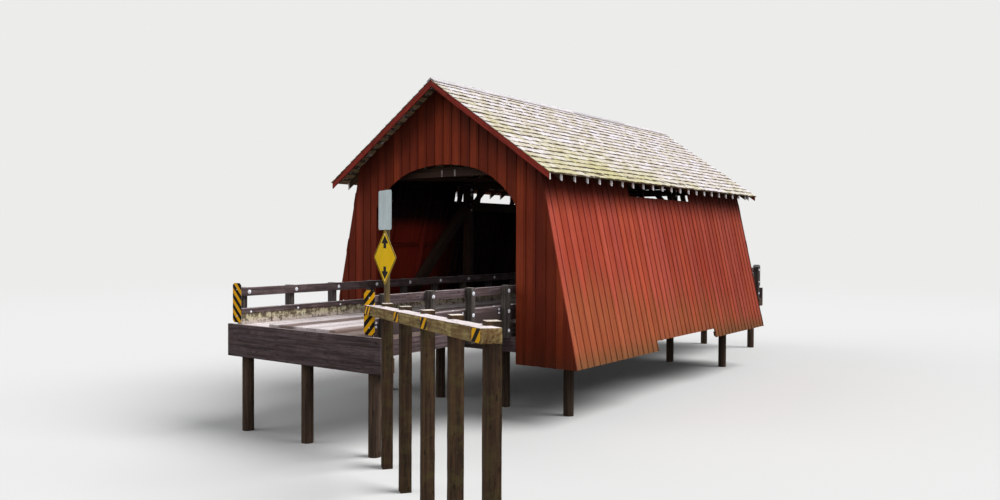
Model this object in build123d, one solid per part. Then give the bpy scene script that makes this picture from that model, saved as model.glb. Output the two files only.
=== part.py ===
from build123d import *
import os
from math import asin, atan, cos, hypot, radians, sin, tan

# Covered timber bridge: a flared, boarded housing over two queen post trusses, with an open
# approach span at each end, its railings, and the guard rail and sign post of the near approach.
# All sizes are millimetres. X runs across the bridge, Y along it and Z up. The origin is the
# middle of the roadway surface at mid-span, and the near portal looks towards -Y.

# Housing
housing_length = 12800
wall_half_width_at_road = 3809
wall_flare = 0.221
siding_thickness = 44
siding_top_gap = 10
siding_bottom = -1136
middle_siding_bottom = -870
middle_half_length = 2050
window_height = 468

# Portal arch
portal_half_width = 2326
arch_spring_height = 2690
arch_crown_height = 3800
arch_crown_radius = 4200
arch_crown_half_width = 900

# Roof
roof_pitch = 34.67
ridge_height = 5880
eave_half_width = 3571
rake_overhang = 435
rafter_width = 38
rafter_depth = 140
rafter_spacing = 609.6
rafter_first = 150
rafter_seat = 90
rafter_tail_inset = 31
roof_board_width = 140
roof_board_thickness = 22
roof_board_spacing = 270
roof_board_ridge_inset = 60
shingle_thickness = 30
shingle_overhang = 22
ridge_cap_half_width = 150
ridge_cap_thickness = 25
ridge_board_width = 38
ridge_board_depth = 190
barge_thickness = 38
barge_depth = 140

# Wall framing
plate_width = 140
plate_depth = 190
stud_width = 90
stud_depth = 140
stud_foot_above_siding = 60
girt_thickness = 38
girt_depth = 140
girt_heights = (350, 1700)
bottom_girt_rise = 100
portal_post_size = 140
portal_header_depth = 140
portal_header_rise = 50
gable_nailer_height = 4800

# Trusses
truss_half_spacing = 2600
truss_timber_width = 240
bottom_chord_depth = 360
bottom_chord_end_gap = 45
queen_half_spacing = 1950
queen_post_width = 240
straining_beam_depth = 240
straining_beam_below_tie = 485
brace_depth = 240
brace_heel_from_middle = 5100

# Overhead framing
tie_width = 140
tie_depth = 240
portal_tie_inset = 300
knee_brace_depth = 140
knee_brace_width = 90
knee_brace_reach = 700
overhead_brace_width = 140
overhead_brace_thickness = 90

# Floor
running_plank_thickness = 60
running_plank_width = 290
running_plank_gap = 10
running_plank_count = 7
deck_thickness = 90
deck_joint_gap = 5
deck_to_chord_gap = 20
stringer_width = 140
stringer_depth = 340
stringer_count = 6
floor_beam_width = 240
floor_beam_depth = 360

# Approach spans and railings
approach_length = 4658
approach_half_width = 2150
rail_thickness = 100
rail_depth = 200
rail_top = 765
rail_length_bays = 4
post_width = 190
post_thickness = 140
right_post_top = 795
left_post_top = 765
post_foot = -470
approach_post_bays = 3
first_post_from_end = 206
last_approach_post_to_portal = 285
housing_post_bays = 10
curb_width = 140
curb_height = 240
curb_cap_width = 160
curb_cap_height = 110

# Supports
foot_level = -2500
cap_size = 300
pier_from_middle = 5100
pier_cap_half_length = 3400
pier_pile_places = (1100, 3050)
abutment_cap_half_length = 2400
abutment_pile_places = (0, 2000)
abutment_inset = 180
pile_diameter = 260
end_plank_thickness = 75
end_plank_half_length = 2400

# Hazard panels
hazard_width = 305
hazard_height = 900
hazard_thickness = 4
hazard_bottom = -30
hazard_corner = 50
right_hazard_centre = 2025
left_hazard_centre = 2163

# Guard rail of the near approach
guard_first_post_x = 2786
guard_first_post_before_end = 291
guard_turn = -35.4
guard_post_size = 200
guard_post_spacing = 1606
guard_post_count = 5
guard_post_top = 664
guard_slope = 0.042
guard_beam_width = 270
guard_beam_dap = 70
guard_beam_depth = 190
guard_beam_top = 610
guard_beam_near_end = 6900

# Sign post
sign_post_size = 90
sign_post_top = 2850
sign_turn = -22.7
sign_thickness = 4
weight_plate_width = 610
weight_plate_height = 762
weight_plate_centre = 2450
height_diamond_side = 762
height_diamond_centre = 1540
sign_corner = 47.6

# Gap between timbers that bear on each other inside one group
joint_gap = 0.3

# Worked out from the sizes above
half_length = housing_length / 2
frame_end = half_length - siding_thickness
bridge_end = half_length + approach_length
pitch_tan = tan(radians(roof_pitch))
pitch_cos = cos(radians(roof_pitch))
pitch_sin = sin(radians(roof_pitch))
flare_angle = atan(wall_flare)
flare_cos = cos(flare_angle)
deck_top = -running_plank_thickness
stringer_top = deck_top - deck_thickness
beam_top = stringer_top - stringer_depth
chord_top = beam_top + bottom_chord_depth
truss_inner = truss_half_spacing - truss_timber_width / 2
truss_outer = truss_half_spacing + truss_timber_width / 2
siding_inner = siding_thickness / flare_cos
girt_inner = (siding_thickness + girt_thickness) / flare_cos
stud_inner = (siding_thickness + girt_thickness + stud_depth) / flare_cos


def wall_x(height, depth=0):
    """Distance from the middle to the flared wall, at a height and a depth inside its face."""
    return wall_half_width_at_road - wall_flare * height - depth


def roof_z(x, offset=0):
    """Height of the roof plane above a distance from the middle, offset square to the rafters."""
    return ridge_height + offset / pitch_cos - pitch_tan * x


def timber(x0, x1, y0, y1, z0, z1):
    """Squared timber between two corners."""
    centre = Pos((x0 + x1) / 2, (y0 + y1) / 2, (z0 + z1) / 2)
    return centre * Box(x1 - x0, y1 - y0, z1 - z0)


def across(points, y0, y1):
    """Solid with its outline drawn across the bridge and its thickness along it."""
    plane = Plane(origin=(0, y1, 0), x_dir=(1, 0, 0), z_dir=(0, -1, 0))
    outline = make_face(Polyline(*points, close=True))
    return extrude(plane * outline, amount=y1 - y0)


def along(points, x0, x1):
    """Solid with its outline drawn along the bridge and its thickness across it."""
    plane = Plane(origin=(x0, 0, 0), x_dir=(0, 1, 0), z_dir=(1, 0, 0))
    outline = make_face(Polyline(*points, close=True))
    return extrude(plane * outline, amount=x1 - x0)


def mirrored(solids, plane):
    """The solids and their mirror images."""
    return list(solids) + [mirror(solid, about=plane) for solid in solids]


def both_sides(solids):
    return mirrored(solids, Plane.YZ)


def both_ends(solids):
    return mirrored(solids, Plane.XZ)


def spread(first, last, count):
    """Evenly spaced places from first to last."""
    return [first + (last - first) * i / (count - 1) for i in range(count)]


# The plate is flush with the studs' inner face where it rests on them, and the rafters' seats fix its top
rafter_foot_line = roof_z(-rafter_seat, -rafter_depth) - plate_depth
plate_reach = plate_width + wall_x(rafter_foot_line, stud_inner)
plate_outer = plate_reach / (1 - wall_flare * pitch_tan)
plate_inner = plate_outer - plate_width
plate_top = roof_z(plate_outer - rafter_seat, -rafter_depth)
plate_bottom = plate_top - plate_depth
rafter_bottom_at_wall = (roof_z(wall_half_width_at_road, -rafter_depth)) / (1 - wall_flare * pitch_tan)
siding_top = rafter_bottom_at_wall - siding_top_gap
tie_bottom = plate_top - tie_depth
window_sill_height = plate_bottom - window_height
straining_beam_top = tie_bottom - straining_beam_below_tie
guard_first_post_y = -bridge_end - guard_first_post_before_end
ridge_board_bottom = roof_z(ridge_board_width / 2) - ridge_board_depth


# Portal walls

def arch_points():
    """Points of the right half of the portal arch, from its crown to its spring."""
    centre_z = arch_crown_height - arch_crown_radius
    turn = asin(arch_crown_half_width / arch_crown_radius)
    joint = Vector(arch_crown_half_width, centre_z + arch_crown_radius * cos(turn))
    crown_middle = Vector(arch_crown_radius * sin(turn / 2), centre_z + arch_crown_radius * cos(turn / 2))
    spring = Vector(portal_half_width, arch_spring_height)
    outward = Vector(sin(turn), cos(turn))
    reach = spring - joint
    haunch_radius = -reach.length ** 2 / (2 * reach.dot(outward))
    haunch_centre = joint - outward * haunch_radius
    bisector = ((joint - haunch_centre) + (spring - haunch_centre)).normalized()
    return crown_middle, joint, haunch_centre + bisector * haunch_radius, spring


def portal_wall():
    """Boarded portal, flared like the side walls, with its arched opening down to the siding's foot."""
    eave_x = (ridge_height - wall_half_width_at_road / wall_flare) / (pitch_tan - 1 / wall_flare)
    right_edge = [(wall_x(siding_bottom), siding_bottom), (eave_x, roof_z(eave_x))]
    left_edge = [(-x, z) for x, z in reversed(right_edge)]
    outline = make_face(Polyline(*right_edge, (0, ridge_height), *left_edge, close=True))
    crown_middle, joint, haunch_middle, spring = arch_points()
    foot = (portal_half_width, siding_bottom)
    half = [
        ThreePointArc((0, arch_crown_height), (crown_middle.X, crown_middle.Y), (joint.X, joint.Y)),
        ThreePointArc((joint.X, joint.Y), (haunch_middle.X, haunch_middle.Y), (spring.X, spring.Y)),
        Line((spring.X, spring.Y), foot),
    ]
    whole = half + [mirror(edge, about=Plane.YZ) for edge in half]
    opening = make_face(whole + [Line(foot, (-portal_half_width, siding_bottom))])
    plane = Plane(origin=(0, -frame_end, 0), x_dir=(1, 0, 0), z_dir=(0, -1, 0))
    return extrude(plane * (outline - opening), amount=siding_thickness)


def portal_frame():
    """Posts, header and nailers behind the near portal's boards."""
    y0 = -frame_end
    y1 = y0 + portal_post_size
    nail_y = y0 + girt_thickness
    header_bottom = arch_crown_height + portal_header_rise
    header_top = header_bottom + portal_header_depth
    post_outer = portal_half_width + portal_post_size
    right = [timber(portal_half_width, post_outer, y0, y1, beam_top, header_bottom - joint_gap)]
    for height in girt_heights + (window_sill_height - girt_depth / 2,):
        z0 = height - girt_depth / 2
        z1 = height + girt_depth / 2
        inner = post_outer + joint_gap
        outline = [(inner, z0), (wall_x(z0, stud_inner), z0), (wall_x(z1, stud_inner), z1), (inner, z1)]
        right.append(across(outline, y0, nail_y))
    stud_half = stud_width / 2
    z0 = gable_nailer_height
    z1 = z0 + girt_depth
    reach = (roof_z(0, -rafter_depth) - z1) / pitch_tan
    right.append(timber(stud_half + joint_gap, reach, y0, nail_y, z0, z1))
    header = timber(-post_outer, post_outer, y0, y1, header_bottom, header_top)
    king = timber(-stud_half, stud_half, y0, y0 + stud_width, header_top + joint_gap, ridge_board_bottom)
    return both_sides(right) + [header, king]


# Side walls and their framing

def wall_plane(depth=0):
    """Plane of the right wall's face, or of a layer inside it; local x runs along the bridge."""
    normal = Vector(cos(flare_angle), 0, sin(flare_angle))
    face_point = Vector(wall_half_width_at_road, 0, 0)
    return Plane(origin=face_point - normal * depth, x_dir=(0, 1, 0), z_dir=normal)


def wall_v(height, depth=0):
    """Distance up the sloping wall plane that reaches a height."""
    return (height + depth * sin(flare_angle)) / flare_cos


def wall_board(outline, depth, thickness):
    """Solid inside the right wall, from an outline of places along the bridge and heights."""
    inner = depth + thickness
    points = [(y, wall_v(z, inner)) for y, z in outline]
    return extrude(wall_plane(inner) * make_face(Polyline(*points, close=True)), amount=thickness)


def side_wall():
    """Boards of the right wall: higher cut under the middle third, and a ribbon window above it."""
    outline = [
        (-frame_end, siding_bottom),
        (-middle_half_length, siding_bottom),
        (-middle_half_length, middle_siding_bottom),
        (middle_half_length, middle_siding_bottom),
        (middle_half_length, siding_bottom),
        (frame_end, siding_bottom),
        (frame_end, siding_top),
        (middle_half_length, siding_top),
        (middle_half_length, window_sill_height),
        (-middle_half_length, window_sill_height),
        (-middle_half_length, siding_top),
        (-frame_end, siding_top),
    ]
    return wall_board(outline, 0, siding_thickness)


def girt(y0, y1, height):
    """Horizontal nailer on the right wall's studs."""
    z0 = height - girt_depth / 2
    z1 = height + girt_depth / 2
    outline = [(y0, z0), (y1, z0), (y1, z1), (y0, z1)]
    return wall_board(outline, siding_thickness, girt_thickness)


def wall_girts():
    rows = [girt(-frame_end, frame_end, height) for height in girt_heights]
    rows.append(girt(-frame_end, frame_end, window_sill_height - girt_depth / 2))
    middle_bottom = middle_siding_bottom + bottom_girt_rise
    rows.append(girt(-middle_half_length + joint_gap, middle_half_length - joint_gap, middle_bottom))
    for height in (siding_bottom + bottom_girt_rise, plate_bottom - girt_depth / 2):
        rows += both_ends([girt(middle_half_length, frame_end, height)])
    return both_sides(rows)


def stud(y, z0, z1):
    """Sloping stud of the right wall at a place along the bridge."""
    outline = [
        (wall_x(z0, stud_inner), z0),
        (wall_x(z0, girt_inner), z0),
        (wall_x(z1, girt_inner), z1),
        (wall_x(z1, stud_inner), z1),
    ]
    return across(outline, y - stud_width / 2, y + stud_width / 2)


def wall_studs():
    corner = frame_end - stud_width / 2
    outer_foot = siding_bottom + stud_foot_above_siding
    middle_foot = middle_siding_bottom + stud_foot_above_siding
    studs = [stud(y, outer_foot, plate_bottom) for y in spread(queen_half_spacing, corner, 4)[1:]]
    studs += [stud(y, middle_foot, plate_bottom) for y in (queen_half_spacing / 2, queen_half_spacing)]
    return both_sides(both_ends(studs))


def wall_plates():
    return both_sides([timber(plate_inner, plate_outer, -frame_end, frame_end, plate_bottom, plate_top)])


# Roof

def roof_layer(low, high, x0, x1, y0, y1):
    """Layer of the right slope between two offsets, with plumb cuts at its ridge and eave."""
    outline = [(x0, roof_z(x0, low)), (x1, roof_z(x1, low)), (x1, roof_z(x1, high)), (x0, roof_z(x0, high))]
    return across(outline, y0, y1)


def rafter_stations():
    """Middles of the rafters: evenly spaced from the near portal, and one against the far portal."""
    last = half_length - rafter_first
    count = int((last + last) // rafter_spacing) + 1
    return [-last + rafter_spacing * i for i in range(count)] + [last]


def rafter(y):
    """Right rafter with a bird's mouth over the wall plate and a plumb-cut tail."""
    ridge_x = ridge_board_width / 2
    tail_x = eave_half_width - rafter_tail_inset
    outline = [
        (ridge_x, roof_z(ridge_x)),
        (ridge_x, roof_z(ridge_x, -rafter_depth)),
        (plate_outer - rafter_seat, plate_top),
        (plate_outer, plate_top),
        (plate_outer, roof_z(plate_outer, -rafter_depth)),
        (tail_x, roof_z(tail_x, -rafter_depth)),
        (tail_x, roof_z(tail_x)),
    ]
    return across(outline, y - rafter_width / 2, y + rafter_width / 2)


def right_rafters():
    return [rafter(y) for y in rafter_stations()]


def right_roof_boards():
    """Spaced boards across the rafters, from the ridge down to the eave."""
    slope_length = eave_half_width / pitch_cos
    run = slope_length - roof_board_width - roof_board_ridge_inset
    count = round(run / roof_board_spacing) + 1
    reach = half_length + rake_overhang - barge_thickness
    boards = []
    for start in spread(roof_board_ridge_inset, slope_length - roof_board_width, count):
        corners = [(start, 0), (start + roof_board_width, 0), (start + roof_board_width, 1), (start, 1)]
        outline = []
        for down, up in corners:
            x = down * pitch_cos + up * roof_board_thickness * pitch_sin
            z = ridge_height - down * pitch_sin + up * roof_board_thickness * pitch_cos
            outline.append((x, z))
        boards.append(across(outline, -reach, reach))
    return boards


def right_shingles():
    reach = half_length + rake_overhang + shingle_overhang
    edge = eave_half_width + shingle_overhang
    top = roof_board_thickness + shingle_thickness
    return roof_layer(roof_board_thickness, top, 0, edge, -reach, reach)


def ridge_cap():
    reach = half_length + rake_overhang + shingle_overhang
    low = roof_board_thickness + shingle_thickness
    high = low + ridge_cap_thickness
    half = [(ridge_cap_half_width, roof_z(ridge_cap_half_width, low))]
    half.append((ridge_cap_half_width, roof_z(ridge_cap_half_width, high)))
    left = [(-x, z) for x, z in half]
    outline = [(0, roof_z(0, low)), *half, (0, roof_z(0, high)), *reversed(left)]
    return across(outline, -reach, reach)


def ridge_board():
    half = ridge_board_width / 2
    top = roof_z(half)
    return timber(-half, half, -frame_end, frame_end, top - ridge_board_depth, top)


def barge_boards():
    outer = half_length + rake_overhang
    low = roof_board_thickness - barge_depth
    board = roof_layer(low, roof_board_thickness, joint_gap, eave_half_width, -outer, -outer + barge_thickness)
    return both_ends(both_sides([board]))


# Trusses

def bottom_chords():
    end = frame_end - bottom_chord_end_gap
    return both_sides([timber(truss_inner, truss_outer, -end, end, beam_top, chord_top)])


def end_braces():
    """Sloping end braces, cut level on the chord and plumb against the queen post."""
    post_face = queen_half_spacing + queen_post_width / 2
    head = straining_beam_top - straining_beam_depth / 2
    rise = head - chord_top
    run = brace_heel_from_middle - post_face
    half_level = brace_depth / 2 * hypot(run, rise) / rise
    half_plumb = brace_depth / 2 * hypot(run, rise) / run
    outline = [
        (brace_heel_from_middle - half_level, chord_top),
        (brace_heel_from_middle + half_level, chord_top),
        (post_face, head + half_plumb),
        (post_face, head - half_plumb),
    ]
    return both_sides(both_ends([along(outline, truss_inner, truss_outer)]))


def queen_posts():
    half = queen_post_width / 2
    post = timber(
        truss_inner, truss_outer, queen_half_spacing - half, queen_half_spacing + half, chord_top, tie_bottom
    )
    return both_sides(both_ends([post]))


def straining_beams():
    end = queen_half_spacing - queen_post_width / 2
    low = straining_beam_top - straining_beam_depth
    return both_sides([timber(truss_inner, truss_outer, -end, end, low, straining_beam_top)])


# Overhead framing

def tie_stations():
    return [half_length - portal_tie_inset, queen_half_spacing]


def tie_beams():
    half = tie_width / 2
    ties = []
    for y in tie_stations():
        ties.append(timber(-plate_inner, plate_inner, y - half, y + half, tie_bottom, plate_top))
    return both_ends(ties)


def knee_braces():
    """Short braces from the queen posts up to the tie beams."""
    leg = knee_brace_depth / cos(radians(45))
    outline = [
        (truss_inner, tie_bottom - knee_brace_reach),
        (truss_inner, tie_bottom - knee_brace_reach + leg),
        (truss_inner - knee_brace_reach + leg, tie_bottom),
        (truss_inner - knee_brace_reach, tie_bottom),
    ]
    half = knee_brace_width / 2
    return both_sides(both_ends([across(outline, queen_half_spacing - half, queen_half_spacing + half)]))


def overhead_braces():
    """Flat crossed braces between the tie beams, one over the other."""
    reach = plate_inner
    half_tie = tie_width / 2
    portal_tie, queen_tie = tie_stations()
    bays = [(-portal_tie, -queen_tie), (-queen_tie, queen_tie), (queen_tie, portal_tie)]
    braces = []
    for start, end in bays:
        y0 = start + half_tie
        y1 = end - half_tie
        slant = hypot(2 * reach, y1 - y0)
        half_x = overhead_brace_width / 2 * slant / (y1 - y0)
        for level, sign in enumerate((1, -1)):
            z0 = tie_bottom + level * (overhead_brace_thickness + joint_gap)
            outline = [
                (sign * (half_x * 2 - reach), y0),
                (sign * -reach, y0),
                (sign * (reach - half_x * 2), y1),
                (sign * reach, y1),
            ]
            face = Pos(0, 0, z0) * make_face(Polyline(*outline, close=True))
            braces.append(extrude(face, amount=overhead_brace_thickness, dir=(0, 0, 1)))
    return braces


# Floor

def floor_beams():
    """Beams under the chords, cut to the slope of the wall studs that stand at their ends."""
    beam_bottom = beam_top - floor_beam_depth
    top_x = wall_x(beam_top, stud_inner)
    bottom_x = wall_x(beam_bottom, stud_inner)
    outline = [(-bottom_x, beam_bottom), (bottom_x, beam_bottom), (top_x, beam_top), (-top_x, beam_top)]
    beams = [across(outline, frame_end - floor_beam_width, frame_end)]
    half = floor_beam_width / 2
    beams.append(across(outline, queen_half_spacing - half, queen_half_spacing + half))
    return both_ends(beams)


def stringer_lines():
    edge = approach_half_width - stringer_width / 2
    return spread(-edge, edge, stringer_count)


def stringers(y0, y1):
    half = stringer_width / 2
    return [timber(x - half, x + half, y0, y1, beam_top, stringer_top) for x in stringer_lines()]


def floor_stringers():
    end = pier_from_middle - deck_joint_gap / 2
    return stringers(-end, end)


def approach_stringers():
    near = stringers(-bridge_end, -pier_from_middle - deck_joint_gap / 2)
    return both_ends(near)


def deck():
    """Planked deck: one panel through the housing and one on each approach."""
    joint = frame_end - portal_post_size
    wide = truss_inner - deck_to_chord_gap
    panels = [timber(-wide, wide, -joint, joint, stringer_top, deck_top)]
    start = joint + deck_joint_gap
    approach = timber(-approach_half_width, approach_half_width, start, bridge_end, stringer_top, deck_top)
    return panels + both_ends([approach])


def running_planks():
    """Lengthwise planks that carry the wheels, in three lengths end to end."""
    pitch = running_plank_width + running_plank_gap
    half_spread = pitch * (running_plank_count - 1) / 2
    half = running_plank_width / 2
    joint = half_length - siding_thickness - portal_post_size
    spans = [(-joint, joint), (joint + deck_joint_gap, bridge_end), (-bridge_end, -joint - deck_joint_gap)]
    planks = []
    for x in spread(-half_spread, half_spread, running_plank_count):
        planks += [timber(x - half, x + half, y0, y1, deck_top, 0) for y0, y1 in spans]
    return planks


# Railings

def post_stations():
    """Middles of the railing posts, from the near end of the bridge to the far end."""
    end = bridge_end - first_post_from_end
    portal = half_length + last_approach_post_to_portal
    near = spread(-end, -portal, approach_post_bays + 1)
    middle = spread(-portal, portal, housing_post_bays + 1)
    far = spread(portal, end, approach_post_bays + 1)
    return near + middle[1:-1] + far


def rail_posts():
    """Posts against the outside of the railings, those on the right a little taller."""
    inner = approach_half_width
    outer = inner + post_width
    posts = []
    for y in post_stations():
        foot = deck_top if abs(y) < half_length else post_foot
        y0 = y - post_thickness / 2
        y1 = y + post_thickness / 2
        posts.append(timber(inner, outer, y0, y1, foot, right_post_top))
        posts.append(timber(-outer, -inner, y0, y1, foot, left_post_top))
    return posts


def rail_lengths():
    """Ends of the timbers that meet in the middle of every fourth post."""
    joints = post_stations()[rail_length_bays:-rail_length_bays:rail_length_bays]
    edges = [-bridge_end] + joints + [bridge_end]
    return [(y0 + joint_gap, y1 - joint_gap) for y0, y1 in zip(edges, edges[1:])]


def right_rail():
    x0 = approach_half_width - rail_thickness
    z0 = rail_top - rail_depth
    return [timber(x0, approach_half_width, y0, y1, z0, rail_top) for y0, y1 in rail_lengths()]


def curbs():
    x0 = approach_half_width - curb_width
    top = deck_top + curb_height
    return both_sides([timber(x0, approach_half_width, y0, y1, deck_top, top) for y0, y1 in rail_lengths()])


def curb_caps():
    x0 = approach_half_width - curb_cap_width
    z0 = deck_top + curb_height
    z1 = z0 + curb_cap_height
    return both_sides([timber(x0, approach_half_width, y0, y1, z0, z1) for y0, y1 in rail_lengths()])


# Supports

def abutment_y():
    return bridge_end - abutment_inset


def pier_caps():
    half = cap_size / 2
    z0 = beam_top - cap_size
    caps = []
    for y, reach in ((pier_from_middle, pier_cap_half_length), (abutment_y(), abutment_cap_half_length)):
        caps.append(timber(-reach, reach, y - half, y + half, z0, beam_top))
    return both_ends(caps)


def piles():
    height = beam_top - cap_size - foot_level
    places = [(x, pier_from_middle) for x in pier_pile_places]
    places += [(x, abutment_y()) for x in abutment_pile_places]
    all_piles = []
    for x, y in places:
        for side in {x, -x}:
            all_piles.append(Pos(side, y, foot_level + height / 2) * Cylinder(pile_diameter / 2, height))
    return both_ends(all_piles)


def end_planks():
    """Planks behind the stringer ends, which hold back the road."""
    bottom = beam_top - cap_size
    reach = end_plank_half_length
    return both_ends([timber(-reach, reach, bridge_end, bridge_end + end_plank_thickness, bottom, deck_top)])


# Hazard panels

def hazard_panels():
    """Narrow plates with cut corners, upright on the ends of the railings."""
    half = hazard_width / 2
    top = hazard_bottom + hazard_height
    low = hazard_bottom + hazard_corner
    high = top - hazard_corner
    inner = half - hazard_corner
    panels = []
    for centre in (right_hazard_centre, -left_hazard_centre):
        half_outline = [(inner, hazard_bottom), (half, low), (half, high), (inner, top)]
        other = [(-x, z) for x, z in reversed(half_outline)]
        outline = [(centre + x, z) for x, z in half_outline + other]
        panels.append(across(outline, -bridge_end - hazard_thickness, -bridge_end))
    return panels + [Rot(0, 0, 180) * panel for panel in panels]


# Guard rail

def guard_place():
    return Pos(guard_first_post_x, guard_first_post_y, 0) * Rot(0, 0, guard_turn)


def guard_posts():
    half = guard_post_size / 2
    posts = []
    for i in range(guard_post_count):
        x = i * guard_post_spacing
        top = guard_post_top + guard_slope * x
        posts.append(guard_place() * timber(x - half, x + half, -half, half, foot_level, top))
    return posts


def guard_beam():
    """Sloping beam let over the traffic side of the posts, its far end cut along the hazard panel."""
    half = guard_post_size / 2
    back = guard_beam_dap - half
    front = back - guard_beam_width
    turn = radians(guard_turn)
    panel_face = -bridge_end - hazard_thickness - joint_gap
    far_end = (panel_face - guard_first_post_y - front * cos(turn)) / sin(turn)
    ends = [far_end, guard_beam_near_end]
    tops = [guard_beam_top + guard_slope * x for x in ends]
    outline = [(x, top) for x, top in zip(ends, tops)]
    outline += [(x, top - guard_beam_depth) for x, top in reversed(list(zip(ends, tops)))]
    beam = across(outline, front, back)
    for i in range(guard_post_count):
        x = i * guard_post_spacing
        beam -= timber(x - half - joint_gap, x + half + joint_gap, -half, half, foot_level, max(tops))
    beyond = timber(0, 2 * guard_first_post_x, panel_face, -half_length, foot_level, max(tops))
    return guard_place() * beam - beyond


# Sign post

def sign_place():
    """Middle of the sign post, in the corner between the first guard post and the beam's back."""
    skew = radians(abs(guard_turn - sign_turn))
    corner_reach = sign_post_size / 2 * (cos(skew) + sin(skew)) + joint_gap
    post_face = guard_post_size / 2
    spot = guard_place() * Pos(-post_face - corner_reach, guard_beam_dap - post_face + corner_reach, 0)
    return Pos(spot.position.X, spot.position.Y, 0) * Rot(0, 0, sign_turn)


def sign_post():
    half = sign_post_size / 2
    return sign_place() * timber(-half, half, -half, half, foot_level, sign_post_top)


def sign_plate(face, centre_z):
    front = -sign_post_size / 2 - sign_thickness
    plane = Plane(origin=(0, front, centre_z), x_dir=(1, 0, 0), z_dir=(0, -1, 0))
    return sign_place() * extrude(plane * face, amount=-sign_thickness)


def weight_plate():
    return sign_plate(RectangleRounded(weight_plate_width, weight_plate_height, sign_corner), weight_plate_centre)


def height_diamond():
    face = RectangleRounded(height_diamond_side, height_diamond_side, sign_corner)
    return sign_plate(Rot(0, 0, 45) * face, height_diamond_centre)


def as_list(shapes):
    return shapes if isinstance(shapes, list) else [shapes]


def turned_side(shapes):
    return [mirror(shape, about=Plane.YZ) for shape in as_list(shapes)]


def turned_end(shapes):
    return [mirror(shape, about=Plane.XZ) for shape in as_list(shapes)]


def assembly():
    """Every piece of the bridge by the name of its node."""
    near_wall = portal_wall()
    near_frame = portal_frame()
    wall = side_wall()
    rafters = right_rafters()
    boards = right_roof_boards()
    shingles = right_shingles()
    rail = right_rail()
    return {
        "near_portal_wall": near_wall,
        "far_portal_wall": turned_end(near_wall),
        "right_side_wall": wall,
        "left_side_wall": turned_side(wall),
        "near_portal_frame": near_frame,
        "far_portal_frame": turned_end(near_frame),
        "wall_studs": wall_studs(),
        "wall_girts": wall_girts(),
        "wall_plates": wall_plates(),
        "right_roof_shingles": shingles,
        "left_roof_shingles": turned_side(shingles),
        "right_roof_boards": boards,
        "left_roof_boards": turned_side(boards),
        "right_rafters": rafters,
        "left_rafters": turned_side(rafters),
        "ridge_board": ridge_board(),
        "ridge_cap": ridge_cap(),
        "barge_boards": barge_boards(),
        "truss_bottom_chords": bottom_chords(),
        "truss_end_braces": end_braces(),
        "truss_queen_posts": queen_posts(),
        "truss_straining_beams": straining_beams(),
        "tie_beams": tie_beams(),
        "knee_braces": knee_braces(),
        "overhead_braces": overhead_braces(),
        "floor_beams": floor_beams(),
        "floor_stringers": floor_stringers(),
        "approach_stringers": approach_stringers(),
        "deck": deck(),
        "running_planks": running_planks(),
        "curbs": curbs(),
        "curb_caps": curb_caps(),
        "right_rail": rail,
        "left_rail": turned_side(rail),
        "rail_posts": rail_posts(),
        "pier_caps": pier_caps(),
        "piles": piles(),
        "end_planks": end_planks(),
        "hazard_panels": hazard_panels(),
        "guard_rail_posts": guard_posts(),
        "guard_rail_beam": guard_beam(),
        "sign_post": sign_post(),
        "weight_sign_plate": weight_plate(),
        "height_sign_plate": height_diamond(),
    }


os.makedirs("parts", exist_ok=True)
for name, shapes in assembly().items():
    export_step(Compound(children=as_list(shapes)), f"parts/{name}.step")
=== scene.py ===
import logging
import math
from collections.abc import Callable
from dataclasses import dataclass, field
from enum import Enum

import bmesh
import bpy
import numpy as np
from mathutils import Euler, Matrix, Vector, noise
from mathutils.bvhtree import BVHTree


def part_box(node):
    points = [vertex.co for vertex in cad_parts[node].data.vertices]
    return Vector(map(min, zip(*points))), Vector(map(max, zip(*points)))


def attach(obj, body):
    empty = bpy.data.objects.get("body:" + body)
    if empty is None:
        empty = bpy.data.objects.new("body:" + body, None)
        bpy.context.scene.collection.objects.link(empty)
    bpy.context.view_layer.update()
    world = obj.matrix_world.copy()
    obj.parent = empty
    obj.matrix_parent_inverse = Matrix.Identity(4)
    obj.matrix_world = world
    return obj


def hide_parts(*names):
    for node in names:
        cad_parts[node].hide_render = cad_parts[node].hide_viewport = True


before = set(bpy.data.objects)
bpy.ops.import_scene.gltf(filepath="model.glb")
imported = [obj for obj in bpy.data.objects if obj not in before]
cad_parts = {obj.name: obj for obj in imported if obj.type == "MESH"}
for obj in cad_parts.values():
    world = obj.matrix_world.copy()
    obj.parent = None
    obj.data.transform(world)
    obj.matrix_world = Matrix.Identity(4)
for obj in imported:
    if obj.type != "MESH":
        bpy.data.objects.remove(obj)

"""Dresses the covered timber bridge: boarded and battened walls, a roof of split shakes, weathered
timbers with their bolts, painted curbs, the signs and the striped panels, in metres."""

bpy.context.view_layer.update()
ROOT = "root"
SHARP = math.radians(35)
LOG = logging.getLogger("covered_bridge")
Paint = tuple[int, int, int]
Colour = tuple[float, float, float, float]
Point = tuple[float, float, float]
Outline = list[tuple[float, float]]
BMesh, Mesh, Material = bmesh.types.BMesh, bpy.types.Mesh, bpy.types.Material


class Side(Enum):
    """The two long sides of the bridge, by the sign of X."""

    RIGHT = 1
    LEFT = -1


class End(Enum):
    """The two ends of the bridge, by the sign of Y."""

    NEAR = -1
    FAR = 1


# Nodes of materials and of geometry trees


def linear(colour: object) -> object:
    """Turns a screen colour into the renderer's linear colour.

    Args:
        colour: red, green and blue from 0 to 255; a linear colour or a node's output stays as it is.

    Returns:
        Linear red, green, blue and a full alpha.
    """
    if not isinstance(colour, tuple) or len(colour) != 3:
        return colour
    parts = [v / 255 for v in colour]
    return *((v / 12.92 if v <= 0.04045 else ((v + 0.055) / 1.055) ** 2.4) for v in parts), 1.0


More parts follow.
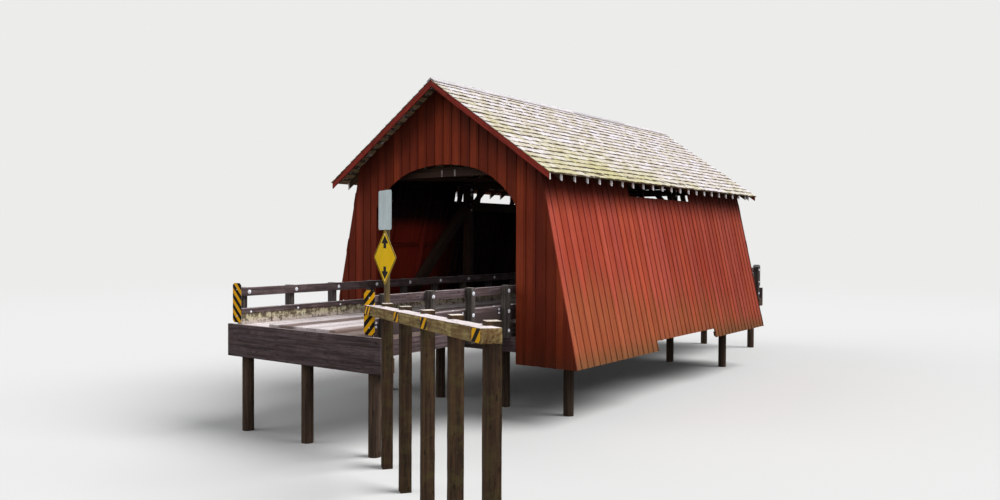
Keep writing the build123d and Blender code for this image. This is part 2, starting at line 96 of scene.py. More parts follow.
class Value:
    """A node's output. Sums on it are written as on numbers, and each adds its node."""

    def __init__(self, graph: "Graph", socket: bpy.types.NodeSocket) -> None:
        """Holds a socket of a graph."""
        self.graph, self.socket = graph, socket

    def __add__(self, other: object) -> "Value":
        """Sum."""
        return self.graph.math("ADD", self, other)

    def __sub__(self, other: object) -> "Value":
        """Difference."""
        return self.graph.math("SUBTRACT", self, other)

    def __rsub__(self, other: object) -> "Value":
        """Difference from a number."""
        return self.graph.math("SUBTRACT", other, self)

    def __mul__(self, other: object) -> "Value":
        """Product."""
        return self.graph.math("MULTIPLY", self, other)

    def __truediv__(self, other: object) -> "Value":
        """Quotient."""
        return self.graph.math("DIVIDE", self, other)

    def __abs__(self) -> "Value":
        """Size without the sign."""
        return self.graph.math("ABSOLUTE", self)

    def above(self, limit: object) -> "Value":
        """1 above a limit, 0 elsewhere."""
        return self.graph.math("GREATER_THAN", self, limit)

    def below(self, limit: object) -> "Value":
        """1 below a limit, 0 elsewhere."""
        return self.graph.math("LESS_THAN", self, limit)

    def part(self, axis: str = "Z") -> "Value":
        """One axis of a vector."""
        return self.graph.value("ShaderNodeSeparateXYZ", {0: self}, axis)

    def spread(self, low: float, high: float, to_low: float = 0.0, to_high: float = 1.0) -> "Value":
        """Eases one range into another and holds at its ends."""
        inputs = {0: self, 1: low, 2: high, 3: to_low, 4: to_high}
        return self.graph.value("ShaderNodeMapRange", inputs, interpolation_type="SMOOTHSTEP")


class Graph:
    """Short calls that place nodes in a tree and join them."""

    def __init__(self, tree: bpy.types.NodeTree) -> None:
        """Starts on an existing tree."""
        self.tree = tree

    def feed(self, socket: bpy.types.NodeSocket, value: object) -> None:
        """Joins an input to a node's output, or sets it.

        Args:
            socket: the input.
            value: the output to join, or a constant.
        """
        if isinstance(value, Value):
            self.tree.links.new(value.socket, socket)
        else:
            socket.default_value = value

    def node(self, kind: str, inputs: dict | None = None, **settings: object) -> bpy.types.Node:
        """Adds a node.

        Args:
            kind: the node's type name.
            inputs: a constant or an output for each input, by name or number.
            settings: properties of the node itself.

        Returns:
            The new node.
        """
        made = self.tree.nodes.new(kind)
        for name, value in settings.items():
            setattr(made, name, value)
        for key, value in (inputs or {}).items():
            self.feed(made.inputs[key], value)
        return made

    def value(self, kind: str, inputs: dict | None = None, output: int | str = 0, **settings: object) -> Value:
        """Adds a node and gives one of its outputs."""
        return Value(self, self.node(kind, inputs, **settings).outputs[output])

    def math(self, operation: str, first: object, second: object = 0.0) -> Value:
        """Result of one sum."""
        return self.value("ShaderNodeMath", {0: first, 1: second}, operation=operation)

    def vector(self, x: object = 0.0, y: object = 0.0, z: object = 0.0) -> Value:
        """Vector of three values."""
        return self.value("ShaderNodeCombineXYZ", {0: x, 1: y, 2: z})

    def mix(self, share: object, first: object, second: object, blend: str = "MIX") -> Value:
        """Colour between two colours."""
        inputs = {0: share, 6: linear(first), 7: linear(second)}
        return self.value("ShaderNodeMix", inputs, 2, data_type="RGBA", blend_type=blend)

    def noise(
        self, where: Value, scale: float | Point, detail: float = 4.0, rough: float = 0.55, size: float = 1.0
    ) -> Value:
        """Noise on stretched coordinates.

        Args:
            where: the coordinates.
            scale: stretch along each axis, or one for all.
            detail: octaves of the noise.
            rough: its roughness.
            size: scale of the noise itself.

        Returns:
            The noise value.
        """
        stretch = scale if isinstance(scale, tuple) else (scale, scale, scale)
        mapped = self.value("ShaderNodeMapping", {"Vector": where, "Scale": stretch})
        return self.value("ShaderNodeTexNoise", {"Vector": mapped, "Scale": size, "Detail": detail, "Roughness": rough})

    def attribute(self, name: str, output: str = "Fac") -> Value:
        """A piece's own attribute."""
        return self.value("ShaderNodeAttribute", output=output, attribute_name=name)

    def place(self) -> Value:
        """Coordinates in the piece's own frame."""
        return self.value("ShaderNodeTexCoord", output="Object")

    def facing(self, axis: str = "Z") -> Value:
        """How far the surface faces along an axis."""
        return self.value("ShaderNodeNewGeometry", output="Normal").part(axis)

    def outward(self, where: Value, axis: str) -> Value:
        """How far the surface faces away from the middle of the bridge along an axis."""
        return self.facing(axis) * self.math("SIGN", where.part(axis))

    def shaded(self, colour: object, *shades: Value) -> Value:
        """Colour made lighter or darker by the product of some shades."""
        product = shades[0]
        for shade in shades[1:]:
            product = product * shade
        grey = self.value("ShaderNodeCombineColor", {0: product, 1: product, 2: product})
        return self.mix(1.0, colour, grey, "MULTIPLY")

    def surface(
        self, colour: Value, relief: Value, depth: float, roughness: object = 0.8, gloss: float = 0.15,
        metallic: float = 0.0,
    ) -> None:
        """Ends a material with its surface shader.

        Args:
            colour: its colour.
            relief: height of the fine relief.
            depth: depth of the relief in metres.
            roughness: number or output.
            gloss: specular level, low on dry wood and old paint.
            metallic: 1 for bare metal.
        """
        bump = self.value("ShaderNodeBump", {"Height": relief, "Distance": depth, "Strength": 1.0})
        inputs = {
            "Base Color": colour, "Roughness": roughness, "Metallic": metallic, "Specular IOR Level": gloss,
            "Normal": bump,
        }
        self.node("ShaderNodeOutputMaterial", {"Surface": self.value("ShaderNodeBsdfPrincipled", inputs)})


def new_material(name: str) -> tuple[Material, Graph]:
    """An empty node material and the graph of its tree."""
    made = bpy.data.materials.new(name)
    made.use_nodes = True
    made.node_tree.nodes.clear()
    return made, Graph(made.node_tree)


def painted_interior_shade(graph: Graph, where: Value, colour: object, shade_black: Colour = (0.012, 0.0045, 0.0035, 1.0)) -> Value:
    """Paints shade on a surface inside the housing: black away from the portals and above head height.

    Args:
        graph: the material's graph.
        where: coordinates in the piece's own frame.
        colour: the unshaded colour.
        shade_black: the black of the painted shade.

    Returns:
        The colour with its painted shade.
    """
    # painted shade: black away from the portals, and black above head height
    colour = graph.mix(abs(where.part("Y")).spread(1.4, 3.6), shade_black, colour)
    return graph.mix(where.part().spread(2.1, 2.6), colour, shade_black)


@dataclass(frozen=True)
class BoardPaint:
    """Faded oil paint on rough vertical boards, worn to the wood and splashed with soil towards their feet, with
    painted shade under the roof line, on the battens, towards the far end and on the inner faces.
    """

    name: str
    fresh: Paint
    faded: Paint
    pink: Paint
    bare: Paint
    soil: Paint
    inside: Paint
    across: Point
    inward: str
    wear_from: float
    wear_to: float
    wear_share: float
    eave_shade: float
    eave_shade_to: float
    darkest: float
    ridge: float = 5.88
    roof_slope: float = 0.6917

    def make(self) -> Material:
        """Builds the material."""
        made, graph = new_material(self.name)
        where, tint = graph.place(), graph.attribute("tint")
        height, along = where.part(), where.part("Y")
        broad = graph.noise(where, (0.5, 0.5, 0.35), 3.0, size=1.6)
        streaks = graph.noise(where, self.across, 5.0, 0.6)
        fine = graph.noise(where, tuple(v * 4.5 for v in self.across), 3.0, 0.6)
        colour = graph.mix((broad + tint * 0.18).spread(0.42, 0.78), self.fresh, self.faded)
        colour = graph.mix(graph.math("FRACT", tint * 7.3).spread(0.4, 1.0, 0.0, 0.6), colour, self.pink)
        reach = height + tint * 0.9 + along * 0.11 + broad * 1.6
        worn = reach.spread(self.wear_to, self.wear_from, self.wear_share, 0.0)
        colour = graph.mix(worn * streaks.spread(0.25, 0.6, 0.45, 1.0), colour, self.bare)
        colour = graph.mix((height + streaks * 0.7).spread(-0.85, -0.2, 0.75, 0.0), colour, self.soil)
        inner = graph.outward(where, self.inward).below(-0.5)
        # inner faces: their own colour, with painted shade inside the housing
        colour = graph.mix(inner, colour, painted_interior_shade(graph, where, self.inside))
        # painted shadow of the roof: the paint is darker within about a metre below the roof line
        below = self.ridge - abs(where.part("X")) * self.roof_slope - height + (streaks - 0.5) * 0.35
        shades = (
            below.spread(self.eave_shade_to - 0.85, self.eave_shade_to, self.eave_shade, 1.0),
            streaks.spread(0.3, 0.7, 0.8, 1.08),
            fine.spread(0.3, 0.7, 0.9, 1.06),
            # random tone for each board; the battens' lowered tints push them darker, as painted shade
            tint.spread(0.0, 1.0, self.darkest, 1.06),
            # painted shade: darker towards the far end
            along.spread(-5.5, 6.5, 1.04, 0.76),
        )
        roughness = streaks.spread(0.2, 0.8, 0.78, 0.92)
        graph.surface(graph.shaded(colour, *shades), fine * 0.6 + streaks, 0.004, roughness)
        return made


@dataclass(frozen=True)
class Timber:
    """Sawn timber whose grain follows each stick, with checks, knots, a paler colour on upward faces, painted ends,
    stains, darker floor strips and, where asked, painted shade inside the housing.
    """

    name: str
    light: Paint
    dark: Paint
    top: Paint
    top_share: float = 0.6
    end: Paint = (0, 0, 0)
    end_share: float = 0.0
    end_from: float = 99.0
    soil: Paint = (0, 0, 0)
    darker_strips: tuple[tuple[float, float], ...] = ()
    stain: Paint = (0, 0, 0)
    stain_share: float = 0.0
    interior_shaded: bool = False

    def darken_strips(self, graph: Graph, where: Value, colour: Value) -> Value:
        """Darkens lengthwise strips of the floor towards the soil colour, with ragged edges.

        Args:
            graph: the material's graph.
            where: coordinates in the piece's own frame.
            colour: the clean colour.

        Returns:
            The colour with its darker strips.
        """
        ragged = graph.noise(where, (3.0, 0.8, 1.0), 5.0, 0.65)
        across = where.part("X") + (ragged - 0.5) * 0.5
        # darker lengthwise strips along the floor
        for start, end in self.darker_strips:
            half = (end - start) / 2
            near = abs(across - (start + end) / 2).spread(half - 0.07, half + 0.07, 0.9, 0.0)
            colour = graph.mix(near, colour, self.soil)
        return colour

    def make(self) -> Material:
        """Builds the material."""
        made, graph = new_material(self.name)
        where, tint, grain = graph.place(), graph.attribute("tint"), graph.attribute("grain", "Vector")
        bands = graph.noise(grain, (0.9, 22.0, 22.0), 5.0, 0.6)
        fibres = graph.noise(grain, (4.0, 150.0, 150.0), 3.0, 0.6)
        splits = graph.noise(grain, (0.7, 16.0, 16.0), 2.0, 0.5)
        blots = graph.noise(where, (3.4, 3.4, 5.0), 6.0, 0.66)
        checks = abs(splits - 0.5).spread(0.0, 0.012, 0.35, 1.0)
        spots = graph.value("ShaderNodeMapping", {"Vector": grain, "Scale": (2.2, 7.0, 7.0)})
        knots = graph.value("ShaderNodeTexVoronoi", {"Vector": spots, "Scale": 1.0}).spread(0.05, 0.16, 0.4, 1.0)
        colour = graph.mix(bands.spread(0.3, 0.7), self.dark, self.light)
        colour = graph.mix(blots.spread(0.44, 0.62, 0.0, self.stain_share), colour, self.stain)
        # upward faces take the paler top colour
        worn = graph.facing().spread(0.5, 0.85) * bands.spread(0.25, 0.55, 0.7 * self.top_share, self.top_share)
        colour = self.darken_strips(graph, where, graph.mix(worn, colour, self.top))
        # painted shade inside the housing, black away from the portals and above head height
        if self.interior_shaded:
            colour = painted_interior_shade(graph, where, colour)
        if self.end_share:
            painted = abs(where.part("X")).spread(self.end_from, self.end_from + 0.012, 0.0, self.end_share)
            colour = graph.mix(painted, colour, self.end)
        shades = checks, knots, fibres.spread(0.3, 0.7, 0.84, 1.08), tint.spread(0.0, 1.0, 0.82, 1.12)
        relief = checks * 1.4 + (bands + fibres * 0.5)
        graph.surface(graph.shaded(colour, *shades), relief, 0.005, bands.spread(0.2, 0.8, 0.74, 0.94))
        return made


@dataclass(frozen=True)
class ShakeWood:
    """Silvered split shakes with dark butts, partly dark end grain and partly painted shade, a painted shadow below the
    butts of the course above, and moss towards the eave and the near end.
    """

    name: str
    pale: Paint
    warm: Paint
    moss: Paint
    butt: Paint

    def make(self) -> Material:
        """Builds the material."""
        made, graph = new_material(self.name)
        where, tint, run = graph.place(), graph.attribute("tint"), graph.attribute("run")
        broad = graph.noise(where, 0.5, 3.0)
        patches = graph.noise(where, 3.2, 5.0, 0.65)
        blot = graph.noise(where, (5.0, 3.4, 5.0), 6.0, 0.72) - 0.5
        grain = graph.noise(where, (2.2, 60.0, 2.2), 4.0, 0.6)
        fine = graph.noise(where, (6.0, 260.0, 6.0), 3.0, 0.6)
        colour = graph.mix(tint.spread(0.0, 1.0), self.pale, self.warm)
        damp = where.part() * -0.42 + where.part("Y") * -0.05 + broad * 1.9 + patches * 1.3
        colour = graph.mix(damp.spread(-0.4, 0.7, 0.0, 0.66), colour, self.moss)
        shades = grain.spread(0.3, 0.7, 0.86, 1.05), fine.spread(0.3, 0.7, 0.92, 1.04), tint.spread(0.0, 1.0, 1.03, 0.9)
        colour = graph.shaded(colour, *shades)
        # dark butts: dark end grain, with painted shade on the butt faces
        rim = (run - blot * 0.8).spread(0.0, 0.11, 1.0, 0.0)
        # painted shadow of the next course's butts across the top of each exposed face
        head = (run + blot * 0.9).spread(0.62, 0.78, 0.0, 0.75)
        colour = graph.mix(graph.math("MAXIMUM", rim, head), colour, self.butt)
        graph.surface(colour, grain + fine * 0.5, 0.004, 0.9, 0.1)
        return made


@dataclass(frozen=True)
class CurbPaint:
    """Old pale paint on the roadway face of a curb, stained from above; the outer face is bare dark wood."""

    name: str
    coat: Paint
    stain: Paint
    foot: Paint
    wood: Paint
    outer_face: float = 2.149
    foot_height: float = 0.06

    def make(self) -> Material:
        """Builds the material."""
        made, graph = new_material(self.name)
        where, tint = graph.place(), graph.attribute("tint")
        runs = graph.noise(where, (1.0, 7.0, 2.2), 6.0, 0.72)
        blots = graph.noise(where, (4.0, 4.0, 5.0), 6.0, 0.7, size=1.5)
        fine = graph.noise(where, 30.0, 4.0, 0.6)
        colour = graph.mix(where.part().spread(0.0, self.foot_height, 0.75, 0.0), self.coat, self.foot)
        damp = runs * 0.6 + blots * 0.6 + where.part() * 0.45
        colour = graph.mix(damp.spread(0.57, 0.70, 0.0, 0.9), colour, self.stain)
        colour = graph.mix((fine + blots * 0.8).spread(0.98, 1.06), colour, self.wood)
        outer = abs(where.part("X")).spread(self.outer_face - 0.006, self.outer_face)
        colour = graph.mix(outer, colour, self.wood)
        shades = tint.spread(0.0, 1.0, 0.92, 1.05), fine.spread(0.3, 0.7, 0.92, 1.05)
        graph.surface(graph.shaded(colour, *shades), runs + fine, 0.003)
        return made


@dataclass(frozen=True)
class SignSheet:
    """Weathered sheet with one painted face, plain or with stripes that fall towards the roadway, and a bare back."""

    name: str
    ground: Paint
    stripe: Paint = (0, 0, 0)
    pitch: float = 0.0
    phase: float = 0.0
    back: Colour = (0.30, 0.31, 0.32, 1.0)

    def make(self) -> Material:
        """Builds the material."""
        made, graph = new_material(self.name)
        where = graph.place()
        grime = graph.noise(where, (5.0, 5.0, 2.0), 5.0, 0.65)
        runs = graph.noise(where, (26.0, 26.0, 1.6), 5.0, 0.65)
        colour = self.ground
        if self.pitch:
            slant = where.part() - abs(where.part("X")) - self.phase
            band = graph.math("FRACT", slant / self.pitch)
            colour = graph.mix(band.above(0.5), self.ground, self.stripe)
        colour = graph.mix(graph.outward(where, "Y").above(0.4), self.back, colour)
        shades = grime.spread(0.3, 0.75, 1.04, 0.88), runs.spread(0.35, 0.75, 1.0, 0.92)
        fine = graph.noise(where, 60.0, 3.0, 0.6)
        graph.surface(graph.shaded(colour, *shades), fine, 0.0006, grime.spread(0.3, 0.75, 0.6, 0.8), 0.12)
        return made


@dataclass(frozen=True)
class Metal:
    """Dull galvanised iron with rust in spots."""

    name: str
    zinc: Paint
    rust: Paint

    def make(self) -> Material:
        """Builds the material."""
        made, graph = new_material(self.name)
        where = graph.place()
        spots = graph.noise(where, 14.0, 5.0, 0.65)
        colour = graph.mix(spots.spread(0.52, 0.74), self.zinc, self.rust)
        fine = graph.noise(where, 90.0, 3.0, 0.6)
        graph.surface(colour, fine, 0.0008, spots.spread(0.3, 0.7, 0.45, 0.7), 0.4, 0.1)
        return made


class Palette:
    """Every finish of the bridge, built once and asked for by name."""

    BLACK = (12, 11, 10)
    YELLOW = (246, 178, 8)
    STRIPE_PITCH = 0.232
    FLOOR_MARKS = {
        "soil": (126, 106, 98), "darker_strips": ((-0.72, -0.24), (0.82, 2.2), (-3.2, -2.05)), "stain_share": 0.4,
    }

    def __init__(self) -> None:
        """Builds the materials."""
        self.build_paints()
        self.build_roof()
        self.build_timbers()
        self.build_sheets()

    def build_paints(self) -> None:
        """The painted walls, trim and curbs."""
        self.side_boards = BoardPaint(
            "faded_side_paint", fresh=(160, 60, 40), faded=(172, 74, 50), pink=(174, 78, 66), bare=(150, 94, 52),
            soil=(106, 78, 46), inside=(146, 46, 30), across=(1.0, 26.0, 1.1), inward="X", wear_from=2.0,
            wear_to=0.6, wear_share=0.52, eave_shade=0.3, eave_shade_to=1.25, darkest=0.9,
        ).make()
        self.portal_boards = BoardPaint(
            "deep_portal_paint", fresh=(121, 43, 21), faded=(136, 55, 30), pink=(115, 41, 26), bare=(117, 45, 23),
            soil=(97, 48, 28), inside=(50, 18, 12), across=(26.0, 1.0, 1.1), inward="Y", wear_from=1.4,
            wear_to=0.2, wear_share=0.5, eave_shade=0.5, eave_shade_to=1.15, darkest=0.66,
        ).make()
        self.barge = Timber(
            "barge_paint", (152, 55, 44), (116, 39, 30), (158, 72, 62), 0.4,
            end=(250, 244, 234), end_share=0.95, end_from=3.5575,
        ).make()
        self.curb = CurbPaint("curb_paint", (196, 187, 157), (86, 71, 52), (200, 186, 180), (74, 62, 60)).make()

    def build_roof(self) -> None:
        """The shakes, the cap, the boards and the rafters."""
        self.shakes = ShakeWood(
            "silvered_shakes", (224, 217, 224), (216, 205, 188), (190, 184, 104), (92, 80, 64)
        ).make()
        self.cap = Timber("silvered_ridge_boards", (210, 204, 208), (184, 177, 176), (214, 208, 212)).make()
        self.roof_boards = Timber("aged_roof_boards", (182, 158, 124), (124, 104, 78), (140, 118, 90), 0.3).make()
        self.rafters = Timber(
            "rafters_with_painted_tails", (92, 68, 50), (58, 42, 31), (96, 74, 56), 0.2,
            end=(252, 250, 252), end_share=0.97, end_from=3.487,
        ).make()

    def build_timbers(self) -> None:
        """The bare timbers, from the frame to the guard rail."""
        self.framing = Timber(
            "red_washed_framing", (140, 45, 30), (112, 36, 25), (120, 48, 34), 0.3, interior_shaded=True
        ).make()
        self.truss_timber = Timber("tarred_truss_timber", (66, 46, 36), (38, 27, 21), (84, 66, 56), 0.4).make()
        self.dark_timber = Timber(
            "tarred_timber", (116, 99, 101), (62, 51, 53), (190, 176, 176), 0.8, stain=(76, 58, 54), stain_share=0.5
        ).make()
        self.posts = Timber("weathered_rail_posts", (101, 93, 89), (49, 45, 42), (170, 162, 156), 0.7).make()
        self.deck = Timber(
            "deck_planks_wood", (240, 229, 228), (206, 192, 187), (242, 232, 231), 0.7,
            stain=(150, 132, 122), **self.FLOOR_MARKS,
        ).make()
        self.running = Timber(
            "bleached_running_planks", (218, 206, 207), (188, 175, 175), (224, 213, 214), 0.7,
            stain=(160, 144, 138), **self.FLOOR_MARKS,
        ).make()
        self.piles = Timber("tarred_piles", (92, 74, 60), (54, 42, 35), (108, 92, 78), 0.5).make()
        self.guard_beam = Timber(
            "guard_beam_wood", (184, 162, 108), (100, 79, 48), (246, 234, 235), 0.97,
            stain=(104, 62, 38), stain_share=0.55,
        ).make()
        self.guard_posts = Timber(
            "guard_post_wood", (81, 59, 42), (44, 32, 24), (240, 226, 214), 0.95, stain=(84, 76, 44), stain_share=0.4
        ).make()
        self.sign_post = Timber("sign_post_wood", (108, 92, 64), (74, 61, 41), (160, 144, 116)).make()

    def build_sheets(self) -> None:
        """The sign faces, the striped panels and the iron."""
        self.white = SignSheet("white_sheet", (208, 221, 224)).make()
        self.yellow = SignSheet("yellow_sheet", (248, 200, 10)).make()
        self.black = SignSheet("black_legend", self.BLACK).make()
        self.hazard = SignSheet("hazard_stripes", self.YELLOW, self.BLACK, self.STRIPE_PITCH, 0.195).make()
        self.old_iron = Metal("weathered_iron", (124, 112, 110), (84, 58, 44)).make()
        self.iron = Metal("galvanised_iron", (236, 238, 246), (150, 116, 90)).make()


# Meshes taken from the solids


def merged(node: str) -> BMesh:
    """A solid's mesh with its triangles joined into whole faces.

    Args:
        node: name of the solid.

    Returns:
        A new mesh under edit.
    """
    made = bmesh.new()
    made.from_mesh(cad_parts[node].data)
    bmesh.ops.remove_doubles(made, verts=made.verts, dist=1e-5)
    bmesh.ops.dissolve_limit(made, angle_limit=math.radians(0.5), verts=made.verts, edges=made.edges)
    return made


def islands(shape: BMesh) -> list[list[bmesh.types.BMVert]]:
    """The vertices of each separate stick of a mesh, in the order of the mesh.

    Args:
        shape: the mesh under edit.

    Returns:
        One list of vertices for each stick.
    """
    found: list[list[bmesh.types.BMVert]] = []
    seen: set[int] = set()
    shape.verts.index_update()
    for start in shape.verts:
        if start.index in seen:
            continue
        seen.add(start.index)
        group, queue = [], [start]
        while queue:
            vert = queue.pop()
            group.append(vert)
            for edge in vert.link_edges:
                other = edge.other_vert(vert)
                if other.index not in seen:
                    seen.add(other.index)
                    queue.append(other)
        found.append(group)
    return found


def long_axes(points: np.ndarray) -> np.ndarray:
    """Three axes of a stick, its length first, as rows.

    Args:
        points: the stick's vertices.

    Returns:
        The axes.
    """
    centred = points - points.mean(0)
    axis = np.linalg.svd(centred, full_matrices=False)[2][0]
    spare = np.array([0.0, 0.0, 1.0]) if abs(axis[2]) < 0.8 else np.array([1.0, 0.0, 0.0])
    second = np.cross(spare, axis)
    second /= np.linalg.norm(second)
    return np.stack([axis, second, np.cross(axis, second)])


def write_grain(mesh: Mesh, shape: BMesh, seed: int) -> None:
    """Stores each stick's own grain coordinates and tint as attributes.

    Args:
        mesh: the finished mesh.
        shape: the same mesh under edit.
        seed: seed of the sticks' chances.
    """
    chance = np.random.default_rng(seed)
    grain = np.zeros((len(shape.verts), 3), np.float32)
    tint = np.zeros(len(shape.verts), np.float32)
    for group in islands(shape):
        points = np.array([vert.co for vert in group])
        local = (points - points.mean(0)) @ long_axes(points).T + chance.uniform(0, 40, 3)
        shade = chance.uniform()
        for vert, place in zip(group, local):
            grain[vert.index] = place
            tint[vert.index] = shade
    mesh.attributes.new("grain", "FLOAT_VECTOR", "POINT").data.foreach_set("vector", grain.ravel())
    mesh.attributes.new("tint", "FLOAT", "POINT").data.foreach_set("value", tint)


def prism(shape: BMesh, first: list, second: list, caps: bool = True) -> None:
    """Joins two rings of vertices into a prism.

    Args:
        shape: the mesh under edit.
        first: the vertices of one end.
        second: the vertices of the other end.
        caps: whether the ends are closed.
    """
    if caps:
        shape.faces.new(first)
        shape.faces.new(second[::-1])
    for i in range(len(first)):
        shape.faces.new((first[i], second[i], second[i - 1], first[i - 1]))


def close_mesh(name: str, shape: BMesh, finish: Material | None = None, smooth: bool = False, seed: int = 0) -> Mesh:
    """Turns a mesh under edit into a plain one.

    Args:
        name: name of the mesh.
        shape: the mesh under edit, freed here.
        finish: its material.
        smooth: whether its eased edges are shaded round.
        seed: seed of the grain of its sticks, if it has grain.

    Returns:
        The plain mesh.
    """
    made = bpy.data.meshes.new(name)
    if finish:
        bmesh.ops.recalc_face_normals(shape, faces=shape.faces)
    shape.to_mesh(made)
    if finish:
        made.materials.append(finish)
    if seed:
        write_grain(made, shape, seed)
    shape.free()
    if smooth:
        made.shade_smooth()
        made.set_sharp_from_angle(angle=SHARP)
    return made


def outline_of(node: str, grow: Callable[[Vector], Vector]) -> Mesh:
    """A solid made thicker both ways, so that it only cuts the outline of what is laid on it.

    Args:
        node: name of the solid.
        grow: gives the way that a vertex moves.

    Returns:
        The thickened mesh.
    """
    shape = merged(node)
    for vert in shape.verts:
        vert.co += grow(vert.co)
    bmesh.ops.triangulate(shape, faces=shape.faces)
    return close_mesh(f"{node}_outline", shape)


def link(name: str, data: bpy.types.ID) -> bpy.types.Object:
    """Adds an object to the scene."""
    made = bpy.data.objects.new(name, data)
    bpy.context.scene.collection.objects.link(made)
    return made


def seat(mesh: Mesh, slot: str | None = None, *nodes: str) -> bpy.types.Object:
    """Puts a finished mesh on the bridge.

    Args:
        mesh: the mesh, in place; it names the piece.
        slot: the record's material slot; not used.
        nodes: the solids that it stands for.

    Returns:
        The piece.
    """
    piece = link(mesh.name, mesh)
    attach(piece, ROOT)
    if nodes:
        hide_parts(*nodes)
    LOG.info("%s: %d faces", mesh.name, len(mesh.polygons))
    return piece


@dataclass
class DressedTimber:
    """A solid's sticks with eased or worn edges and a grain along each."""

    node: str
    slot: str
    finish: Material
    easing: float = 0.006
    wear: float = 0.0
    step: float = 0.16
    seed: int = 1

    def roughen(self, shape: BMesh) -> None:
        """Cuts long edges and moves the cuts a little inwards, as age does."""
        for _ in range(6):
            long_edges = [edge for edge in shape.edges if edge.calc_length() > 2 * self.step]
            if not long_edges:
                break
            bmesh.ops.subdivide_edges(shape, edges=long_edges, cuts=1, use_grid_fill=True)
        for group in islands(shape):
            centre = sum((vert.co for vert in group), Vector()) / len(group)
            axis = Vector(long_axes(np.array([vert.co for vert in group]))[0])
            for vert in group:
                inward = centre - vert.co
                inward -= axis * inward.dot(axis)
                if inward.length > 1e-6:
                    share = 0.5 + 0.5 * noise.noise(vert.co * 4.5)
                    vert.co += inward.normalized() * self.wear * share

    def build(self) -> bpy.types.Object:
        """Makes the piece that stands for the solid."""
        shape = merged(self.node)
        sharp = [edge for edge in shape.edges if edge.is_manifold and edge.calc_face_angle() > math.radians(25)]
        bmesh.ops.bevel(
            shape, geom=sharp, offset=self.easing, segments=2, profile=0.6, affect="EDGES", clamp_overlap=True
        )
        if self.wear:
            self.roughen(shape)
        bmesh.ops.triangulate(shape, faces=[face for face in shape.faces if len(face.verts) > 4])
        mesh = close_mesh(f"dressed_{self.node}", shape, self.finish, True, self.seed)
        return seat(mesh, self.slot, self.node)


# Geometry trees


class Growth(Graph):
    """A geometry tree with named inputs, run once to give a plain mesh."""

    def __init__(self, name: str) -> None:
        """Starts a tree whose first inputs are the host mesh, the seed and the finish."""
        super().__init__(bpy.data.node_groups.new(name, "GeometryNodeTree"))
        self.entry = self.tree.nodes.new("NodeGroupInput")
        self.host = self.sizes("Geometry", "Geometry")[0]
        self.tree.interface.new_socket("Geometry", in_out="OUTPUT", socket_type="NodeSocketGeometry")
        self.seed = self.sizes("Int", "Seed")[0]
        self.material = self.sizes("Material", "Finish")[0]

    def sizes(self, kind: str, *names: str) -> list[Value]:
        """Adds named inputs of one kind.

        Args:
            kind: kind of their sockets.
            names: the name of each.

        Returns:
            Their outputs inside the tree.
        """
        for name in names:
            self.tree.interface.new_socket(name, in_out="INPUT", socket_type=f"NodeSocket{kind}")
        return [Value(self, self.entry.outputs[name]) for name in names]

    def chance(self, low: object, high: object, key: object = None, vector: bool = False) -> Value:
        """Seeded random value for each element.

        Args:
            low: the lowest.
            high: the highest.
            key: what tells the elements apart, if not their order.
            vector: whether it has three parts.

        Returns:
            The random value.
        """
        kind, pair, output = ("FLOAT_VECTOR", (0, 1), 0) if vector else ("FLOAT", (2, 3), 1)
        inputs = {pair[0]: low, pair[1]: high, "Seed": self.seed}
        if key is not None:
            inputs["ID"] = key
        return self.value("FunctionNodeRandomValue", inputs, output, data_type=kind)

    def on_points(self, item: Value) -> Value:
        """Stands an item on each point of the host, looking along the point's facing."""
        facing = self.value("GeometryNodeInputNamedAttribute", {"Name": "facing"}, data_type="FLOAT_VECTOR")
        aligned = self.value("FunctionNodeAlignRotationToVector", {"Vector": facing}, axis="Z")
        return self.value("GeometryNodeInstanceOnPoints", {"Points": self.host, "Instance": item, "Rotation": aligned})

    def finish(self, shape: Value) -> "Growth":
        """Realizes the instances, gives each island its tint and sets the material.

        Args:
            shape: the geometry.

        Returns:
            The tree itself.
        """
        real = self.value("GeometryNodeRealizeInstances", {0: shape})
        tint = self.chance(0.0, 1.0, self.value("GeometryNodeInputMeshIsland"))
        inputs = {"Geometry": real, "Name": "tint", "Value": tint}
        stored = self.value("GeometryNodeStoreNamedAttribute", inputs, data_type="FLOAT")
        dressed = self.value("GeometryNodeSetMaterial", {"Geometry": stored, "Material": self.material})
        self.node("NodeGroupOutput", {0: dressed})
        return self

    def grow(self, name: str, values: dict[str, object], host: Mesh | None = None) -> Mesh:
        """Runs the tree.

        Args:
            name: name of the mesh to make.
            values: a value for each named input.
            host: the mesh that goes in, if the tree needs one.

        Returns:
            The result as a plain mesh.
        """
        carrier = link(f"{name}_carrier", host or bpy.data.meshes.new(f"{name}_empty"))
        modifier = carrier.modifiers.new("growth", "NODES")
        modifier.node_group = self.tree
        for item in self.tree.interface.items_tree:
            if item.in_out == "INPUT" and item.name in values:
                modifier[item.identifier] = values[item.name]
        depsgraph = bpy.context.evaluated_depsgraph_get()
        grown = carrier.evaluated_get(depsgraph)
        made = bpy.data.meshes.new_from_object(grown, preserve_all_data_layers=True, depsgraph=depsgraph)
        made.name = name
        carrier.modifiers.remove(modifier)
        bpy.data.objects.remove(carrier)
        return made


